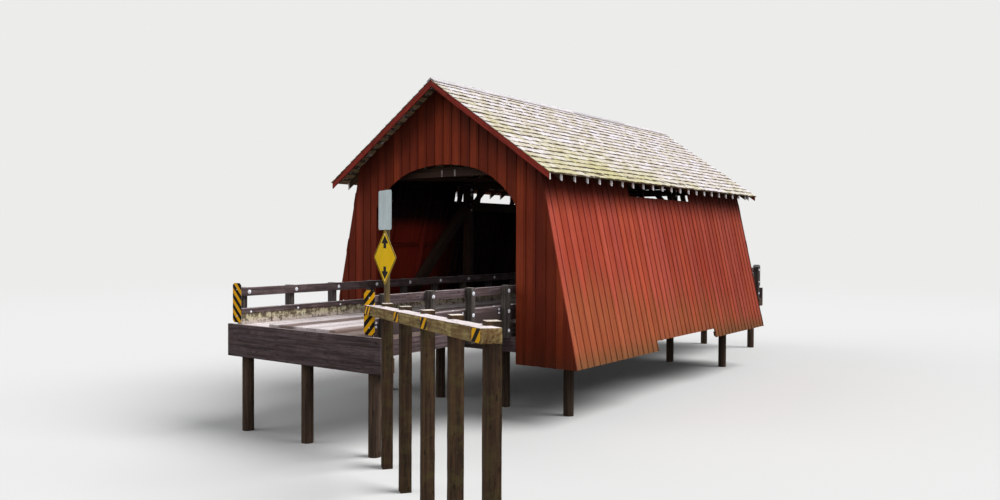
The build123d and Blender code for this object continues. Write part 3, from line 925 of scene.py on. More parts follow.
def board_tree() -> Growth:
    """Tree that lays boards side by side and cuts them to the outline of the geometry that goes in."""
    tree = Growth("boards_cut_to_outline")
    start, step, size, play = tree.sizes("Vector", "Start", "Step", "Board", "Play")
    count = tree.sizes("Int", "Count")[0]
    turn = tree.sizes("Rotation", "Turn")[0]
    line = tree.value("GeometryNodeMeshLine", {"Count": count, "Start Location": start, "Offset": step})
    board = tree.value("GeometryNodeMeshCube", {"Size": size})
    placed = tree.value("GeometryNodeInstanceOnPoints", {"Points": line, "Instance": board, "Rotation": turn})
    back = tree.value("ShaderNodeVectorMath", {0: play, 1: (-1.0, -1.0, -1.0)}, operation="MULTIPLY")
    inputs = {"Instances": placed, "Translation": tree.chance(back, play, vector=True), "Local Space": True}
    real = tree.value("GeometryNodeRealizeInstances", {0: tree.value("GeometryNodeTranslateInstances", inputs)})
    cut = tree.node("GeometryNodeMeshBoolean", operation="INTERSECT", solver="EXACT")
    for part in (tree.host, real):
        tree.feed(cut.inputs[1], part)
    return tree.finish(Value(tree, cut.outputs[0]))


def shake_tree() -> Growth:
    """Tree that lays tapered shakes in courses on a level sheet: X along the course, -Y down to the butts."""
    tree = Growth("shakes_in_courses")
    courses, columns = tree.sizes("Int", "Courses", "Columns")
    exposure, pitch, length, gap = tree.sizes("Float", "Exposure", "Pitch", "Length", "Gap")
    butt_low, butt_high, head_low, head_high = tree.sizes("Float", "Butt Low", "Butt High", "Head Low", "Head High")
    stagger, waviness = tree.sizes("Float", "Stagger", "Waviness")
    line = tree.value("GeometryNodeMeshLine", {"Count": courses * columns, "Offset": (0.0, 0.0, 0.0)})
    index = tree.value("GeometryNodeInputIndex")
    course = tree.math("FLOOR", (index + 0.5) / columns)
    joints = []
    for step in (0.0, 1.0):
        place = index - course * columns + step
        inner = place.above(0.5) * place.below(columns - 0.5)
        slip = tree.chance(-0.5, 0.5, course * 1000.0 + place) * (stagger * inner)
        joints.append((place + slip) * pitch)
    middle = (joints[0] + joints[1]) * 0.5
    start = course * exposure
    wave = tree.value("ShaderNodeTexNoise", {"Vector": tree.vector(middle, start), "Scale": 0.9, "Detail": 2.0})
    sway = (wave - 0.5) * (waviness * 2.4)
    ragged = tree.chance(-0.5, 0.5, index) * waviness
    spot = tree.vector(middle, start + (waviness + (sway + ragged)))
    points = tree.value("GeometryNodeSetPosition", {"Geometry": line, "Position": spot})
    inputs = {"Size": (1.0, 1.0, 1.0), "Vertices X": 2, "Vertices Y": 3, "Vertices Z": 2}
    blank = tree.value("GeometryNodeMeshCube", inputs)
    corner = tree.value("GeometryNodeInputPosition")
    run = corner.part("Y") + 0.5
    low_line = butt_low + run * (head_low - butt_low)
    high_line = butt_high + run * (head_high - butt_high)
    level = low_line + corner.part().above(0.0) * (high_line - low_line)
    inputs = {"Geometry": blank, "Name": "run", "Value": run}
    marked = tree.value("GeometryNodeStoreNamedAttribute", inputs, data_type="FLOAT")
    bent = tree.vector(corner.part("X"), run * length, level)
    shake = tree.value("GeometryNodeSetPosition", {"Geometry": marked, "Position": bent})
    thickness = tree.chance(0.8, 1.0, index + 9000.0)
    scale = tree.vector(joints[1] - joints[0] - gap, 1.0, thickness)
    skew = tree.vector(z=tree.chance(-0.012, 0.012, index + 5000.0))
    inputs = {"Points": points, "Instance": shake, "Rotation": skew, "Scale": scale}
    return tree.finish(tree.value("GeometryNodeInstanceOnPoints", inputs))


def bolt_tree() -> Growth:
    """Tree that sets a washer, a nut and a bolt's end on each point."""
    tree = Growth("bolts_on_points")
    washer, plate, nut, nut_height = tree.sizes(
        "Float", "Washer Radius", "Washer Thickness", "Nut Radius", "Nut Height"
    )
    joined = tree.node("GeometryNodeJoinGeometry")
    discs = (16, washer, plate, 1.0), (6, nut, nut_height, 1.0), (8, nut * 0.5, nut_height, 1.5)
    for corners, radius, height, scale in discs:
        inputs = {"Vertices": corners, "Radius": radius, "Depth": height * scale}
        disc = tree.value("GeometryNodeMeshCylinder", inputs, "Mesh")
        lift = tree.vector(z=height * (scale * 0.5))
        tree.feed(joined.inputs[0], tree.value("GeometryNodeTransform", {"Geometry": disc, "Translation": lift}))
    return tree.finish(tree.on_points(Value(tree, joined.outputs[0])))


def nail_tree() -> Growth:
    """Tree that drives a low nail head on each point."""
    tree = Growth("nails_on_points")
    radius, height = tree.sizes("Float", "Head Radius", "Head Height")
    inputs = {"Vertices": 7, "Radius Top": radius * 0.6, "Radius Bottom": radius, "Depth": height}
    return tree.finish(tree.on_points(tree.value("GeometryNodeMeshCone", inputs, "Mesh")))


class Trees:
    """The geometry trees, built once."""

    def __init__(self) -> None:
        """Builds the trees."""
        self.boards, self.shakes = board_tree(), shake_tree()
        self.bolts, self.nails = bolt_tree(), nail_tree()


# Walls


@dataclass
class Shell:
    """Sizes of the housing that the wall and roof pieces share."""

    half_width: float = 3.809
    flare: float = 0.221
    ridge: float = 5.880
    pitch: float = math.radians(34.67)
    wall_thickness: float = 0.044
    batten_thickness: float = 0.019

    @property
    def lean(self) -> float:
        """Angle of the side walls from upright."""
        return math.atan(self.flare)


@dataclass
class BoardedWall:
    """One wall of wide boards with a batten over each joint."""

    node: str
    slot: str
    finish: Material
    shell: Shell
    heading: float
    leaning: bool
    seed: int
    pitch: float = 0.2909
    length: float = 13.4
    joint: float = 0.004
    batten_width: float = 0.070
    batten_shade: float = 0.4
    board_length: float = 11.0
    board_middle: float = 1.2
    margin: float = 0.02

    def axes(self) -> tuple[Matrix, Vector]:
        """Turn of the wall's own frame, and the middle of its outer face at road level."""
        lean = -self.shell.lean if self.leaning else 0.0
        outward = Euler((0.0, 0.0, self.heading)).to_matrix() @ Vector((0.0, -1.0, 0.0))
        low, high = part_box(self.node)
        face = self.shell.half_width if self.leaning else max(abs(low.y), abs(high.y))
        return Euler((lean, 0.0, self.heading)).to_matrix(), outward * face

    def outline(self, turn: Matrix, face: Vector) -> Mesh:
        """The wall's solid, made thicker so that it only cuts the boards' outline.

        Args:
            turn: the wall's turn.
            face: middle of its face.

        Returns:
            The thickened wall.
        """
        outward = turn @ Vector((0.0, -1.0, 0.0))
        middle = -self.shell.wall_thickness / 2
        return outline_of(
            self.node, lambda place: outward * (self.margin if (place - face).dot(outward) > middle else -self.margin)
        )

    def lay(self, trees: Trees, outline: Mesh, turn: Matrix, face: Vector, battens: bool) -> Mesh:
        """Lays one layer, the boards or their battens.

        Args:
            trees: the geometry trees.
            outline: the thickened wall.
            turn: the wall's turn.
            face: middle of its face.
            battens: whether the layer is the battens.

        Returns:
            The layer's mesh.
        """
        width = self.batten_width if battens else self.pitch - self.joint
        near = 0.0 if battens else self.shell.batten_thickness
        far = self.shell.batten_thickness + 0.0006 if battens else self.shell.wall_thickness
        count = math.ceil(self.length / self.pitch)
        first = -self.pitch * (count // 2) + (0.0 if battens else self.pitch / 2)
        values = {
            "Start": face + turn @ Vector((first, (near + far) / 2, self.board_middle)),
            "Step": turn @ Vector((self.pitch, 0.0, 0.0)),
            "Count": count + 1,
            "Board": (width, far - near - 0.001, self.board_length),
            "Turn": turn.to_euler(),
            "Play": (0.003, 0.0, 0.0) if battens else (0.001, 0.0005, 0.0),
            "Seed": self.seed,
            "Finish": self.finish,
        }
        return trees.boards.grow(f"{self.node}_{'battens' if battens else 'boards'}", values, outline.copy())

    def build(self, trees: Trees) -> None:
        """Makes the boards and the battens."""
        turn, face = self.axes()
        outline = self.outline(turn, face)
        seat(self.lay(trees, outline, turn, face, False), self.slot, self.node)
        battens = self.lay(trees, outline, turn, face, True)
        # painted shade along the battens: lowered tints make the battens darker
        for item in battens.attributes["tint"].data:
            item.value *= self.batten_shade
        seat(battens, self.slot)


# Roof


@dataclass
class ShakeSlope:
    """One slope of split shakes in courses over a closed underlay."""

    side: Side
    finish: Material
    shell: Shell
    exposure: float = 0.2285
    columns: int = 66
    half_run: float = 6.857
    low: float = 0.022
    high: float = 0.052
    eave: float = 3.593
    sheet: float = 0.004
    starter: float = 0.0115
    starter_run: tuple[float, float] = (0.22, 0.24)
    setback: float = 0.006
    end_gap: float = 0.004

    @property
    def name(self) -> str:
        """Name of the side."""
        return self.side.name.lower()

    @property
    def slope(self) -> float:
        """Length of the slope from the ridge to the eave."""
        return self.eave / math.cos(self.shell.pitch)

    def place(self) -> Matrix:
        """Matrix from the level sheet, its butts down, to the slope, with the sheet's base on the roof boards."""
        cosine, sine = math.cos(self.shell.pitch), math.sin(self.shell.pitch)
        sign = self.side.value
        along = Vector((0.0, float(sign), 0.0))
        turn = Matrix((along, (-sign * cosine, 0.0, sine), (sign * sine, 0.0, cosine))).transposed().to_4x4()
        eave = Vector((sign * self.eave, 0.0, self.shell.ridge - math.tan(self.shell.pitch) * self.eave))
        return Matrix.Translation(eave - along * self.half_run) @ turn

    def underlay(self) -> Mesh:
        """Thin closed sheet under the shakes, thicker along the eave where the first course lies double."""
        drop = math.tan(self.shell.pitch)
        base, sheet, starter = self.low, self.low + self.sheet, self.low + self.starter
        start, end = self.starter_run
        section = [
            (base * drop, base), (self.slope + base * drop, base), (self.slope + sheet * drop, sheet),
            (end, sheet), (start, starter), (self.setback + starter * drop, starter),
        ]
        shape = bmesh.new()
        ends = self.end_gap, 2 * self.half_run - self.end_gap
        prism(shape, *([shape.verts.new((x, y, z)) for y, z in section] for x in ends))
        return close_mesh(f"{self.name}_roof_underlay", shape, self.finish)

    def build(self, trees: Trees) -> None:
        """Makes the shakes and the underlay."""
        values = {
            "Courses": math.ceil((self.slope - 0.02) / self.exposure),
            "Columns": self.columns,
            "Exposure": self.exposure,
            "Pitch": 2 * self.half_run / self.columns,
            "Length": self.exposure * 1.35,
            "Butt Low": self.low + 0.012,
            "Butt High": self.high,
            "Head Low": self.low + 0.0045,
            "Head High": self.low + 0.006,
            "Gap": 0.007,
            "Stagger": 0.66,
            "Waviness": 0.018,
            "Seed": 11 if self.side is Side.RIGHT else 12,
            "Finish": self.finish,
        }
        shakes = trees.shakes.grow(f"{self.name}_shakes", values)
        self.trim(shakes)
        shakes.transform(self.place())
        seat(shakes, "roof_shingles", f"{self.name}_roof_shingles")
        sheet = self.underlay()
        sheet.transform(self.place())
        seat(sheet, "roof_shingles")

    def trim(self, mesh: Mesh) -> None:
        """Plumb cut of the sheet at the ridge, so that the two slopes meet."""
        shape = bmesh.new()
        shape.from_mesh(mesh)
        made = bmesh.ops.bisect_plane(
            shape,
            geom=list(shape.verts) + list(shape.edges) + list(shape.faces),
            plane_co=(0.0, self.slope - 0.001, 0.0),
            plane_no=Vector((0.0, 1.0, -math.tan(self.shell.pitch))).normalized(),
            clear_outer=True,
        )
        edges = [item for item in made["geom_cut"] if isinstance(item, bmesh.types.BMEdge)]
        bmesh.ops.holes_fill(shape, edges=edges, sides=0)
        shape.to_mesh(mesh)
        shape.free()


@dataclass
class RidgeCap:
    """Cap boards in a few long lengths, one beside the other along the ridge."""

    finish: Material
    shell: Shell
    lengths: int = 4
    width: float = 0.150
    low: float = 0.052
    high: float = 0.077
    half_run: float = 6.857
    joint: float = 0.004
    easing: float = 0.003

    def section(self, side: Side, lift: float) -> Outline:
        """Corners of one board's end, across and up.

        Args:
            side: the slope that it lies on.
            lift: how much thinner than the others it is.

        Returns:
            The four corners.
        """
        pitch = self.shell.pitch
        inner, outer, top = self.joint / 2, self.width - self.low * math.sin(pitch), self.high - lift
        corners = [(inner, self.low), (outer, self.low), (outer, top), (inner, top)]
        return [
            (side.value * x, self.shell.ridge + rise / math.cos(pitch) - math.tan(pitch) * x) for x, rise in corners
        ]

    def build(self) -> None:
        """Makes the boards as one piece."""
        chance = np.random.default_rng(21)
        shape = bmesh.new()
        length = 2 * self.half_run / self.lengths
        for side in Side:
            for i in range(self.lengths):
                start = i * length - self.half_run
                section = self.section(side, chance.uniform(0.0, 0.003))
                ends = start + self.joint / 2, start + length - self.joint / 2
                prism(shape, *([shape.verts.new((x, y, z)) for x, z in section] for y in ends))
        bmesh.ops.bevel(
            shape, geom=list(shape.edges), offset=self.easing, segments=2, profile=0.6, affect="EDGES"
        )
        seat(close_mesh("ridge_cap_boards", shape, self.finish, seed=22), "roof_shingles", "ridge_cap")


# Floor


@dataclass
class Planking:
    """The cross planks of the deck."""

    finish: Material
    pitch: float = 0.292
    joint: float = 0.007
    length: float = 6.0
    worn: float = 0.0015
    margin: float = 0.02

    def build(self, trees: Trees) -> None:
        """Cuts a row of planks to the three deck panels."""
        low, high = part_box("deck")
        middle = (low.z + high.z) / 2
        outline = outline_of(
            "deck", lambda place: Vector((0.0, 0.0, self.margin if place.z > middle else -self.margin))
        )
        count = math.ceil((high.y - low.y) / self.pitch)
        pitch = (high.y - low.y) / count
        values = {
            "Start": (0.0, low.y + pitch / 2, middle - self.worn),
            "Step": (0.0, pitch, 0.0),
            "Count": count,
            "Board": (pitch - self.joint, high.z - low.z - 2 * self.worn, self.length),
            "Turn": Euler((math.pi / 2, 0.0, math.pi / 2)),
            "Play": (0.001, 0.0015, 0.0),
            "Seed": 31,
            "Finish": self.finish,
        }
        mesh = trees.boards.grow("deck_planks", values, outline)
        shape = bmesh.new()
        shape.from_mesh(mesh)
        mesh.attributes.remove(mesh.attributes["tint"])
        write_grain(mesh, shape, 32)
        shape.free()
        seat(mesh, "deck_timber", "deck")


# Fastenings


def points_with_facing(name: str, spots: list[tuple[Point, Point]]) -> Mesh:
    """Loose points, each with the direction it looks in.

    Args:
        name: what stands on them.
        spots: place and facing of each.

    Returns:
        A mesh of the points.
    """
    host = bpy.data.meshes.new(f"{name}_points")
    host.from_pydata([place for place, _ in spots], [], [])
    flat = [v for _, facing in spots for v in facing]
    host.attributes.new("facing", "FLOAT_VECTOR", "POINT").data.foreach_set("vector", flat)
    return host


@dataclass
class Fastenings:
    """Bolts with their washers, set on named timbers."""

    name: str
    finish: Material
    washer: float = 0.045
    nut: float = 0.021
    spots: list[tuple[Point, Point]] = field(default_factory=list)

    def add(self, place: Point, facing: Point) -> None:
        """Adds one bolt at a place on a face, looking along the face's normal."""
        self.spots.append((tuple(place), tuple(facing)))

    def build(self, trees: Trees) -> None:
        """Makes the bolts as one piece."""
        values = {
            "Washer Radius": self.washer,
            "Washer Thickness": self.washer * 0.13,
            "Nut Radius": self.nut,
            "Nut Height": self.nut * 0.9,
            "Seed": 41,
            "Finish": self.finish,
        }
        seat(trees.bolts.grow(self.name, values, points_with_facing(self.name, self.spots)))


def stick_boxes(node: str) -> list[tuple[Vector, Vector]]:
    """Lowest and highest corners of a solid's separate sticks.

    Args:
        node: name of the solid.

    Returns:
        Both corners of each stick.
    """
    shape = merged(node)
    groups = [np.array([vert.co for vert in group]) for group in islands(shape)]
    shape.free()
    return [(Vector(points.min(0)), Vector(points.max(0))) for points in groups]


@dataclass
class RailBolts:
    """Bolts through the railing posts, rails and curbs, and spikes along the curb caps."""

    finish: Material
    post_face: float = 2.340
    rail_face: float = 2.050
    side_face: float = 2.150
    cap_face: float = 1.990
    cap_middle: float = 2.070
    cap_top: float = 0.290
    rail_level: float = 0.665
    curb_level: float = 0.175
    stringer_level: float = -0.285
    left_slip: float = 0.045
    cap_rise: float = 0.035
    side_rises: tuple[float, ...] = (0.045, -0.04)
    side_back: float = 0.145
    spike_pitch: float = 0.72
    spike_play: float = 0.12
    end_margin: float = 0.3

    def build(self, trees: Trees) -> None:
        """Sets the bolts and makes them."""
        posts = Fastenings("post_bolts", self.finish)
        heads = Fastenings("curb_spikes", self.finish, 0.026, 0.016)
        portal = abs(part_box("near_portal_wall")[0].y)
        for low, high in stick_boxes("rail_posts"):
            middle = (low + high) / 2
            sign = 1.0 if middle.x > 0 else -1.0
            outside = abs(middle.y) > portal
            for level in (self.rail_level, self.curb_level) + ((self.stringer_level,) if outside else ()):
                posts.add((sign * self.post_face, middle.y, level), (sign, 0.0, 0.0))
            slip = self.left_slip if sign < 0 else 0.0
            posts.add((sign * self.rail_face, middle.y + slip, self.rail_level), (-sign, 0.0, 0.0))
            heads.add((sign * self.cap_face, middle.y + slip, self.curb_level + self.cap_rise), (-sign, 0.0, 0.0))
            if sign > 0 and outside:
                for rise in self.side_rises:
                    place = (self.side_face, middle.y - self.side_back, self.curb_level + rise)
                    heads.add(place, (1.0, 0.0, 0.0))
        low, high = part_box("curb_caps")
        count = int((high.y - low.y) / self.spike_pitch)
        run = high.y - low.y - 2 * self.end_margin
        chance = np.random.default_rng(61)
        for side in Side:
            for i in range(count):
                y = low.y + self.end_margin + i * run / (count - 1) + chance.uniform(-self.spike_play, self.spike_play)
                heads.add((side.value * self.cap_middle, y, self.cap_top), (0.0, 0.0, 1.0))
        posts.build(trees)
        heads.build(trees)


@dataclass
class FrameBolts:
    """Bolts of the queen posts and of the floor beams."""

    finish: Material
    inset: float = 0.08
    chord_rise: float = 0.24
    top_drop: float = 0.14
    portal_gap: float = 0.05
    beam_places: tuple[float, ...] = (-2.6, -1.55, 1.55, 2.6)

    def build(self, trees: Trees) -> None:
        """Sets the bolts and makes them."""
        bolts = Fastenings("frame_bolts", self.finish, 0.05, 0.024)
        beam_low, beam_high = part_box("truss_straining_beams")
        chord_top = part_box("truss_bottom_chords")[1].z
        for low, high in stick_boxes("truss_queen_posts"):
            for level in (chord_top + self.chord_rise, (beam_low.z + beam_high.z) / 2, high.z - self.top_drop):
                for sign, x in ((-1.0, low.x), (1.0, high.x)):
                    for shift in (-self.inset, self.inset):
                        bolts.add((x, (low.y + high.y) / 2, level + shift), (sign, 0.0, 0.0))
        portal = abs(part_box("near_portal_wall")[1].y)
        for low, high in stick_boxes("floor_beams"):
            for x in self.beam_places:
                for sign, y in ((-1.0, low.y), (1.0, high.y)):
                    if abs(y) < portal - self.portal_gap:
                        bolts.add((x, y, (low.z + high.z) / 2), (0.0, sign, 0.0))
        bolts.build(trees)


@dataclass
class SidingNails:
    """Nails through the battens along the lines of the framing."""

    finish: Material
    shell: Shell
    levels: tuple[float, ...] = (-0.62, 0.42, 1.77, 2.62)
    pitch: float = 0.2909
    radius: float = 0.005
    height: float = 0.0024
    level_play: float = 0.03
    row_play: float = 0.02

    def build(self, trees: Trees) -> None:
        """Drives the nails of both side walls."""
        across, up = math.cos(self.shell.lean), math.sin(self.shell.lean)
        chance = np.random.default_rng(71)
        spots = []
        half = int(-2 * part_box("near_portal_wall")[0].y / self.pitch) // 2
        lift = self.height / 4
        for side in Side:
            for i in range(-half, half + 1):
                for level in self.levels:
                    z = level + chance.uniform(-self.level_play, self.level_play)
                    x = self.shell.half_width - self.shell.flare * z + lift * across
                    y = i * self.pitch + chance.uniform(-self.row_play, self.row_play)
                    spots.append(((side.value * x, y, z + lift * up), (side.value * across, 0.0, up)))
        values = {"Head Radius": self.radius, "Head Height": self.height, "Seed": 72, "Finish": self.finish}
        seat(trees.nails.grow("siding_nails", values, points_with_facing("siding_nails", spots)))


@dataclass
class TieStraps:
    """Two flat straps that hang from the first tie beam at the near portal, each with its bolts."""

    finish: Material
    places: tuple[float, ...] = (-0.18, 0.25)
    width: float = 0.045
    thickness: float = 0.004
    length: float = 0.17
    rise: float = 0.006
    sink: float = 0.0005
    easing: float = 0.0012
    bolt_shares: tuple[float, ...] = (0.2, 0.8)

    def build(self, trees: Trees) -> None:
        """Makes the straps and their bolts."""
        low, _ = min(stick_boxes("tie_beams"), key=lambda box: box[0].y)
        shape = bmesh.new()
        bolts = Fastenings("strap_bolts", self.finish, 0.012, 0.008)
        for x in self.places:
            for vert in bmesh.ops.create_cube(shape, size=1.0)["verts"]:
                vert.co.x = x + vert.co.x * self.width
                vert.co.y = low.y - self.thickness * (0.5 - vert.co.y) + self.sink
                vert.co.z = low.z + self.length * (0.5 + vert.co.z) + self.rise
            for share in self.bolt_shares:
                place = (x, low.y - self.thickness, low.z + self.rise + self.length * share)
                bolts.add(place, (0.0, -1.0, 0.0))
        bmesh.ops.bevel(
            shape, geom=list(shape.edges), offset=self.easing, segments=2, profile=0.6, affect="EDGES"
        )
        seat(close_mesh("tie_beam_straps", shape, self.finish))
        bolts.build(trees)


# Signs and stripes


@dataclass
class SignFaces:
    """The two plates on the sign post: one bare, one a diamond with a border and two arrows."""

    palette: Palette
    turn: float = math.radians(-22.7)
    front: float = -0.049
    diamond_side: float = 0.762
    corner: float = 0.0476
    centre_height: float = 1.54
    border_inset: float = 0.010
    border_width: float = 0.022
    film_thickness: float = 0.0012
    film_lift: float = 0.0008
    bolt_heights: tuple[float, ...] = (2.75, 2.15, 1.98, 1.10)

    def place(self) -> Matrix:
        """Matrix of the sign post's own frame, its faces looking along -Y."""
        low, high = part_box("sign_post")
        middle = ((low.x + high.x) / 2, (low.y + high.y) / 2, 0.0)
        return Matrix.Translation(middle) @ Matrix.Rotation(self.turn, 4, "Z")

    def rounded_diamond(self, inset: float) -> Outline:
        """Points of the diamond's outline, moved inwards.

        Args:
            inset: how far in.

        Returns:
            The outline, across and up.
        """
        half, radius = self.diamond_side / 2 - inset, max(self.corner - inset, 0.006)
        points = []
        for quarter in range(4):
            for step in range(7):
                angle = math.radians(quarter * 90 + step * 15)
                x = (half - radius) * (1 if quarter in (0, 3) else -1) + radius * math.cos(angle)
                z = (half - radius) * (1 if quarter in (0, 1) else -1) + radius * math.sin(angle)
                points.append(((x - z) * math.sqrt(0.5), (x + z) * math.sqrt(0.5)))
        return points

    def arrow(self, sign: int) -> Outline:
        """Points of an arrow that looks up or down.

        Args:
            sign: 1 for up, -1 for down.

        Returns:
            The outline, across and up.
        """
        reach = self.diamond_side * math.sqrt(0.5)
        head, neck, foot, shaft, tip = (share * reach for share in (0.30, 0.50, 0.325, 0.115, 0.79))
        half = [(0.0, tip), (head, neck), (shaft, neck), (shaft, foot)]
        outline = half + [(-x, z) for x, z in reversed(half[1:])]
        return [(x, sign * z) for x, z in outline]

    def film(self, shape: BMesh, outer: Outline, inner: Outline | None = None) -> None:
        """Adds a thin closed film to a mesh.

        Args:
            shape: the mesh under edit.
            outer: its outline.
            inner: outline of a hole, of as many points.
        """
        front = self.front - self.film_lift

        def ring(outline: Outline, depth: float) -> list[bmesh.types.BMVert]:
            """Vertices of an outline at a depth."""
            return [shape.verts.new((x, front + depth, z + self.centre_height)) for x, z in outline]

        rims = [ring(outer, 0.0), ring(outer, self.film_thickness)]
        prism(shape, *rims, caps=inner is None)
        if inner:
            holes = [ring(inner, 0.0), ring(inner, self.film_thickness)]
            for first, second in ((holes[1], holes[0]), (rims[0], holes[0]), (holes[1], rims[1])):
                prism(shape, first, second, caps=False)

    def build(self, trees: Trees) -> None:
        """Makes the plates, the marks and the bolts."""
        DressedTimber("weight_sign_plate", "white_sheet", self.palette.white, 0.0012).build()
        DressedTimber("height_sign_plate", "yellow_sheet", self.palette.yellow, 0.0012).build()
        shape = bmesh.new()
        inner = self.rounded_diamond(self.border_inset + self.border_width)
        self.film(shape, self.rounded_diamond(self.border_inset), inner)
        for sign in (1, -1):
            self.film(shape, self.arrow(sign))
        marks = close_mesh("diamond_border_and_arrows", shape, self.palette.black)
        place = self.place()
        marks.transform(place)
        seat(marks, "yellow_sheet")
        bolts = Fastenings("sign_bolts", self.palette.iron, 0.014, 0.008)
        for height in self.bolt_heights:
            bolts.add(place @ Vector((0.0, self.front, height)), place.to_3x3() @ Vector((0.0, -1.0, 0.0)))
        bolts.build(trees)


@dataclass
class HazardPanels:
    """The striped panels on the railings' ends, each with two bolts."""

    palette: Palette
    bolt_rise: float = 0.30

    def build(self, trees: Trees) -> None:
        """Makes the panels and their bolts."""
        DressedTimber("hazard_panels", "hazard_sheet", self.palette.hazard, 0.001).build()
        bolts = Fastenings("hazard_bolts", self.palette.iron, 0.014, 0.008)
        for low, high in stick_boxes("hazard_panels"):
            middle = (low + high) / 2
            sign, face = (1.0, high.y) if middle.y > 0 else (-1.0, low.y)
            for rise in (-self.bolt_rise, self.bolt_rise):
                bolts.add((middle.x, face, middle.z + rise), (0.0, sign, 0.0))
        bolts.build(trees)


@dataclass
class BeamTape:
    """Striped tape stuck on the traffic face of the guard beam, laid over its worn surface."""

    finish: Material
    beam: bpy.types.Object
    first_post: Point = (2.786, -11.349, 0.0)
    turn: float = math.radians(-35.4)
    bands: tuple[tuple[float, float], ...] = ((-0.80, -0.20), (2.03, 2.38), (3.95, 4.34), (6.55, 6.885))
    top: float = 0.610
    slope: float = 0.042
    depth: float = 0.190
    front: float = -0.300
    lift: float = 0.0012
    margin: float = 0.012
    cell: float = 0.03

    def lay(self, tape: BMesh, surface: BVHTree, start: float, end: float) -> None:
        """Lays a fine closed sheet over the beam.

        Args:
            tape: the mesh under edit.
            surface: the worn beam.
            start: where the sheet starts along the beam.
            end: where it ends.
        """
        place = Matrix.Translation(self.first_post) @ Matrix.Rotation(self.turn, 4, "Z")
        inward = place.to_3x3() @ Vector((0.0, 1.0, 0.0))
        columns = max(2, round((end - start) / self.cell))
        rows = max(2, round(self.depth / self.cell))
        front, back = [], []
        for i in range(columns + 1):
            x = start + (end - start) * i / columns
            for j in range(rows + 1):
                z = self.top + self.slope * x - self.margin - (self.depth - 2 * self.margin) * j / rows
                outside = place @ Vector((x, self.front - 0.1, z))
                hit = surface.ray_cast(outside, inward)[0] or place @ Vector((x, self.front, z))
                front.append(tape.verts.new(hit - inward * self.lift))
                back.append(tape.verts.new(hit + inward * self.lift))
        wide = rows + 1
        for i in range(columns):
            for j in range(rows):
                a = i * wide + j
                ring = (a, a + 1, a + wide + 1, a + wide)
                tape.faces.new([front[k] for k in ring])
                tape.faces.new([back[k] for k in reversed(ring)])
        rim = [*range(wide)] + [i * wide + rows for i in range(1, columns + 1)]
        rim += [columns * wide + j for j in range(rows - 1, -1, -1)] + [i * wide for i in range(columns - 1, 0, -1)]
        prism(tape, [front[k] for k in rim], [back[k] for k in rim], caps=False)

    def build(self) -> None:
        """Makes the bands as one piece."""
        shape = bmesh.new()
        shape.from_mesh(self.beam.data)
        surface = BVHTree.FromBMesh(shape)
        shape.free()
        tape = bmesh.new()
        for start, end in self.bands:
            self.lay(tape, surface, start, end)
        seat(close_mesh("guard_beam_tape", tape, self.finish, True), "hazard_sheet")


# Stage


@dataclass
class Lamp:
    """A soft distant lamp that shines from a direction."""

    name: str
    strength: float
    source: Point
    softness: float

    def build(self) -> None:
        """Hangs the lamp."""
        data = bpy.data.lights.new(self.name, "SUN")
        data.energy = self.strength
        data.angle = math.radians(self.softness)
        link(self.name, data).rotation_euler = Vector(self.source).to_track_quat("Z", "Y").to_euler()


@dataclass
class Studio:
    """Pale floor, pale surroundings and soft lamps."""

    floor_level: float = -2.5
    floor_half: float = 150.0
    pale: Colour = (0.84, 0.84, 0.83, 1.0)
    sky: Colour = (0.93, 0.96, 1.0, 1.0)
    floor_seen: Colour = (0.66, 0.66, 0.65, 1.0)
    floor_bounce: Colour = (0.15, 0.15, 0.145, 1.0)
    sky_light: float = 0.32
    lamps: tuple[Lamp, ...] = (
        Lamp("key_lamp", 3.5, (0.587, 0.293, 0.755), 42.0),
        Lamp("fill_lamp", 0.85, (-0.66, -0.58, 0.42), 50.0),
        Lamp("front_lamp", 0.55, (0.60, -0.72, 0.32), 40.0),
    )

    def floor(self) -> None:
        """Lays the floor, which fades into the surroundings far from the bridge and throws little light back up."""
        made, graph = new_material("pale_floor")
        distance = graph.value("ShaderNodeVectorMath", {0: graph.place()}, "Value", operation="LENGTH")
        seen = graph.value("ShaderNodeLightPath", output="Is Camera Ray")
        colour = graph.mix(seen, self.floor_bounce, self.floor_seen)
        diffuse = graph.value("ShaderNodeBsdfDiffuse", {"Color": colour})
        glow = graph.value("ShaderNodeEmission", {"Color": self.pale, "Strength": 1.0})
        mixed = graph.value("ShaderNodeMixShader", {0: distance.spread(22.0, 70.0) * seen, 1: diffuse, 2: glow})
        graph.node("ShaderNodeOutputMaterial", {"Surface": mixed})
        mesh = bpy.data.meshes.new("floor")
        half, level = self.floor_half, self.floor_level
        corners = [(-half, -half, level), (half, -half, level), (half, half, level), (-half, half, level)]
        mesh.from_pydata(corners, [], [(0, 1, 2, 3)])
        mesh.materials.append(made)
        link("floor", mesh)

    def surroundings(self) -> None:
        """Sets a pale backdrop that throws less light than it shows."""
        world = bpy.data.worlds.new("pale_surroundings")
        world.use_nodes = True
        world.node_tree.nodes.clear()
        graph = Graph(world.node_tree)
        light = graph.value("ShaderNodeBackground", {"Color": self.sky, "Strength": self.sky_light})
        backdrop = graph.value("ShaderNodeBackground", {"Color": self.pale, "Strength": 1.0})
        camera, glossy, through = (
            graph.value("ShaderNodeLightPath", output=f"Is {kind} Ray") for kind in ("Camera", "Glossy", "Transmission")
        )
        share = graph.math("MAXIMUM", camera, graph.math("MAXIMUM", glossy, through))
        mixed = graph.value("ShaderNodeMixShader", {0: share, 1: light, 2: backdrop})
        graph.node("ShaderNodeOutputWorld", {"Surface": mixed})
        bpy.context.scene.world = world

    def build(self) -> None:
        """Sets the floor, the surroundings and the lamps."""
        self.floor()
        self.surroundings()
        for lamp in self.lamps:
            lamp.build()
        bpy.context.scene.view_settings.view_transform = "Standard"


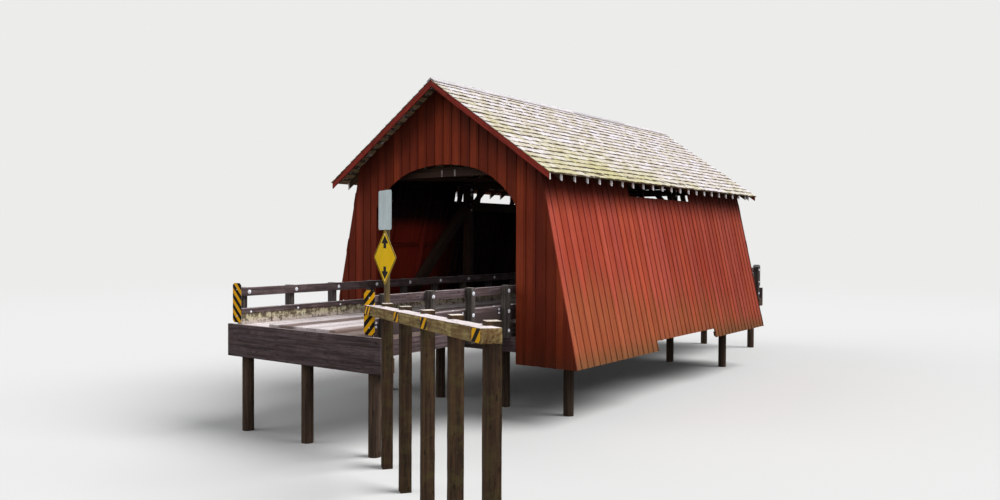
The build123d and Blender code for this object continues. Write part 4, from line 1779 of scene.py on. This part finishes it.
@dataclass
class Viewpoint:
    """The photographer's place, aim and lens."""

    place: Point = (14.099, -23.320, 1.929)
    yaw: float = math.radians(35.876)
    tilt: float = math.radians(-0.829)
    roll: float = math.radians(0.234)
    lens: float = 30.75
    sensor: float = 36.0
    reach: float = 500.0

    def build(self) -> None:
        """Makes the camera."""
        level = Vector((math.cos(self.yaw), math.sin(self.yaw), 0.0))
        flat = math.cos(self.tilt)
        ahead = Vector((-math.sin(self.yaw) * flat, math.cos(self.yaw) * flat, math.sin(self.tilt)))
        up = level.cross(ahead)
        right = level * math.cos(self.roll) + up * math.sin(self.roll)
        top = up * math.cos(self.roll) - level * math.sin(self.roll)
        data = bpy.data.cameras.new("camera")
        data.sensor_width, data.lens, data.clip_end = self.sensor, self.lens, self.reach
        camera = link("camera", data)
        camera.matrix_world = Matrix.Translation(self.place) @ Matrix((right, top, -ahead)).transposed().to_4x4()
        bpy.context.scene.camera = camera


def dress_timbers(palette: Palette) -> dict[str, bpy.types.Object]:
    """Dresses every stick-built solid.

    Args:
        palette: the finishes.

    Returns:
        The pieces by their solid's name.
    """
    eased = (
        ("framing", palette.framing, "near_portal_frame far_portal_frame wall_studs wall_girts wall_plates"),
        ("rafter_timber", palette.roof_boards, "right_roof_boards left_roof_boards"),
        ("rafter_timber", palette.rafters, "right_rafters left_rafters ridge_board"),
        ("barge_paint", palette.barge, "barge_boards"),
        (
            "framing", palette.truss_timber,
            "truss_bottom_chords truss_end_braces truss_queen_posts truss_straining_beams tie_beams knee_braces "
            "overhead_braces",
        ),
        ("framing", palette.dark_timber, "floor_beams"),
        ("dark_timber", palette.dark_timber, "floor_stringers approach_stringers"),
        ("deck_timber", palette.running, "running_planks"),
        ("curb_paint", palette.curb, "curbs"),
        ("dark_timber", palette.dark_timber, "curb_caps"),
        ("pile_timber", palette.piles, "pier_caps piles"),
        ("dark_timber", palette.dark_timber, "end_planks"),
    )
    worn = (
        ("right_rail", "dark_timber", palette.dark_timber, 0.006),
        ("left_rail", "dark_timber", palette.dark_timber, 0.006),
        ("rail_posts", "dark_timber", palette.posts, 0.006),
        ("guard_rail_posts", "guard_post_timber", palette.guard_posts, 0.010),
        ("guard_rail_beam", "guard_timber", palette.guard_beam, 0.008),
        ("sign_post", "sign_timber", palette.sign_post, 0.003),
    )
    made = {}
    plain = [(node, slot, finish) for slot, finish, nodes in eased for node in nodes.split()]
    for seed, (node, slot, finish) in enumerate(plain, 51):
        made[node] = DressedTimber(node, slot, finish, seed=seed).build()
    for seed, (node, slot, finish, wear) in enumerate(worn, 91):
        made[node] = DressedTimber(node, slot, finish, 0.008, wear, seed=seed).build()
    return made


def main() -> None:
    """Builds the dressed bridge, the stage and the camera."""
    logging.basicConfig(level=logging.INFO, format="%(message)s")
    palette, trees, shell = Palette(), Trees(), Shell()
    Viewpoint().build()
    Studio().build()
    for side in Side:
        name, heading = f"{side.name.lower()}_side_wall", side.value * math.pi / 2
        BoardedWall(name, "side_siding", palette.side_boards, shell, heading, True, 5 + side.value).build(trees)
        ShakeSlope(side, palette.shakes, shell).build(trees)
    for end in End:
        name, heading = f"{end.name.lower()}_portal_wall", 0.0 if end is End.NEAR else math.pi
        BoardedWall(
            name, "portal_siding", palette.portal_boards, shell, heading, False, 8 + end.value, pitch=0.286, length=9.0
        ).build(trees)
    RidgeCap(palette.cap, shell).build()
    Planking(palette.deck).build(trees)
    timbers = dress_timbers(palette)
    RailBolts(palette.iron).build(trees)
    FrameBolts(palette.iron).build(trees)
    SidingNails(palette.old_iron, shell).build(trees)
    TieStraps(palette.old_iron).build(trees)
    SignFaces(palette).build(trees)
    HazardPanels(palette).build(trees)
    BeamTape(palette.hazard, timbers["guard_rail_beam"]).build()


if __name__ == "__main__":
    main()
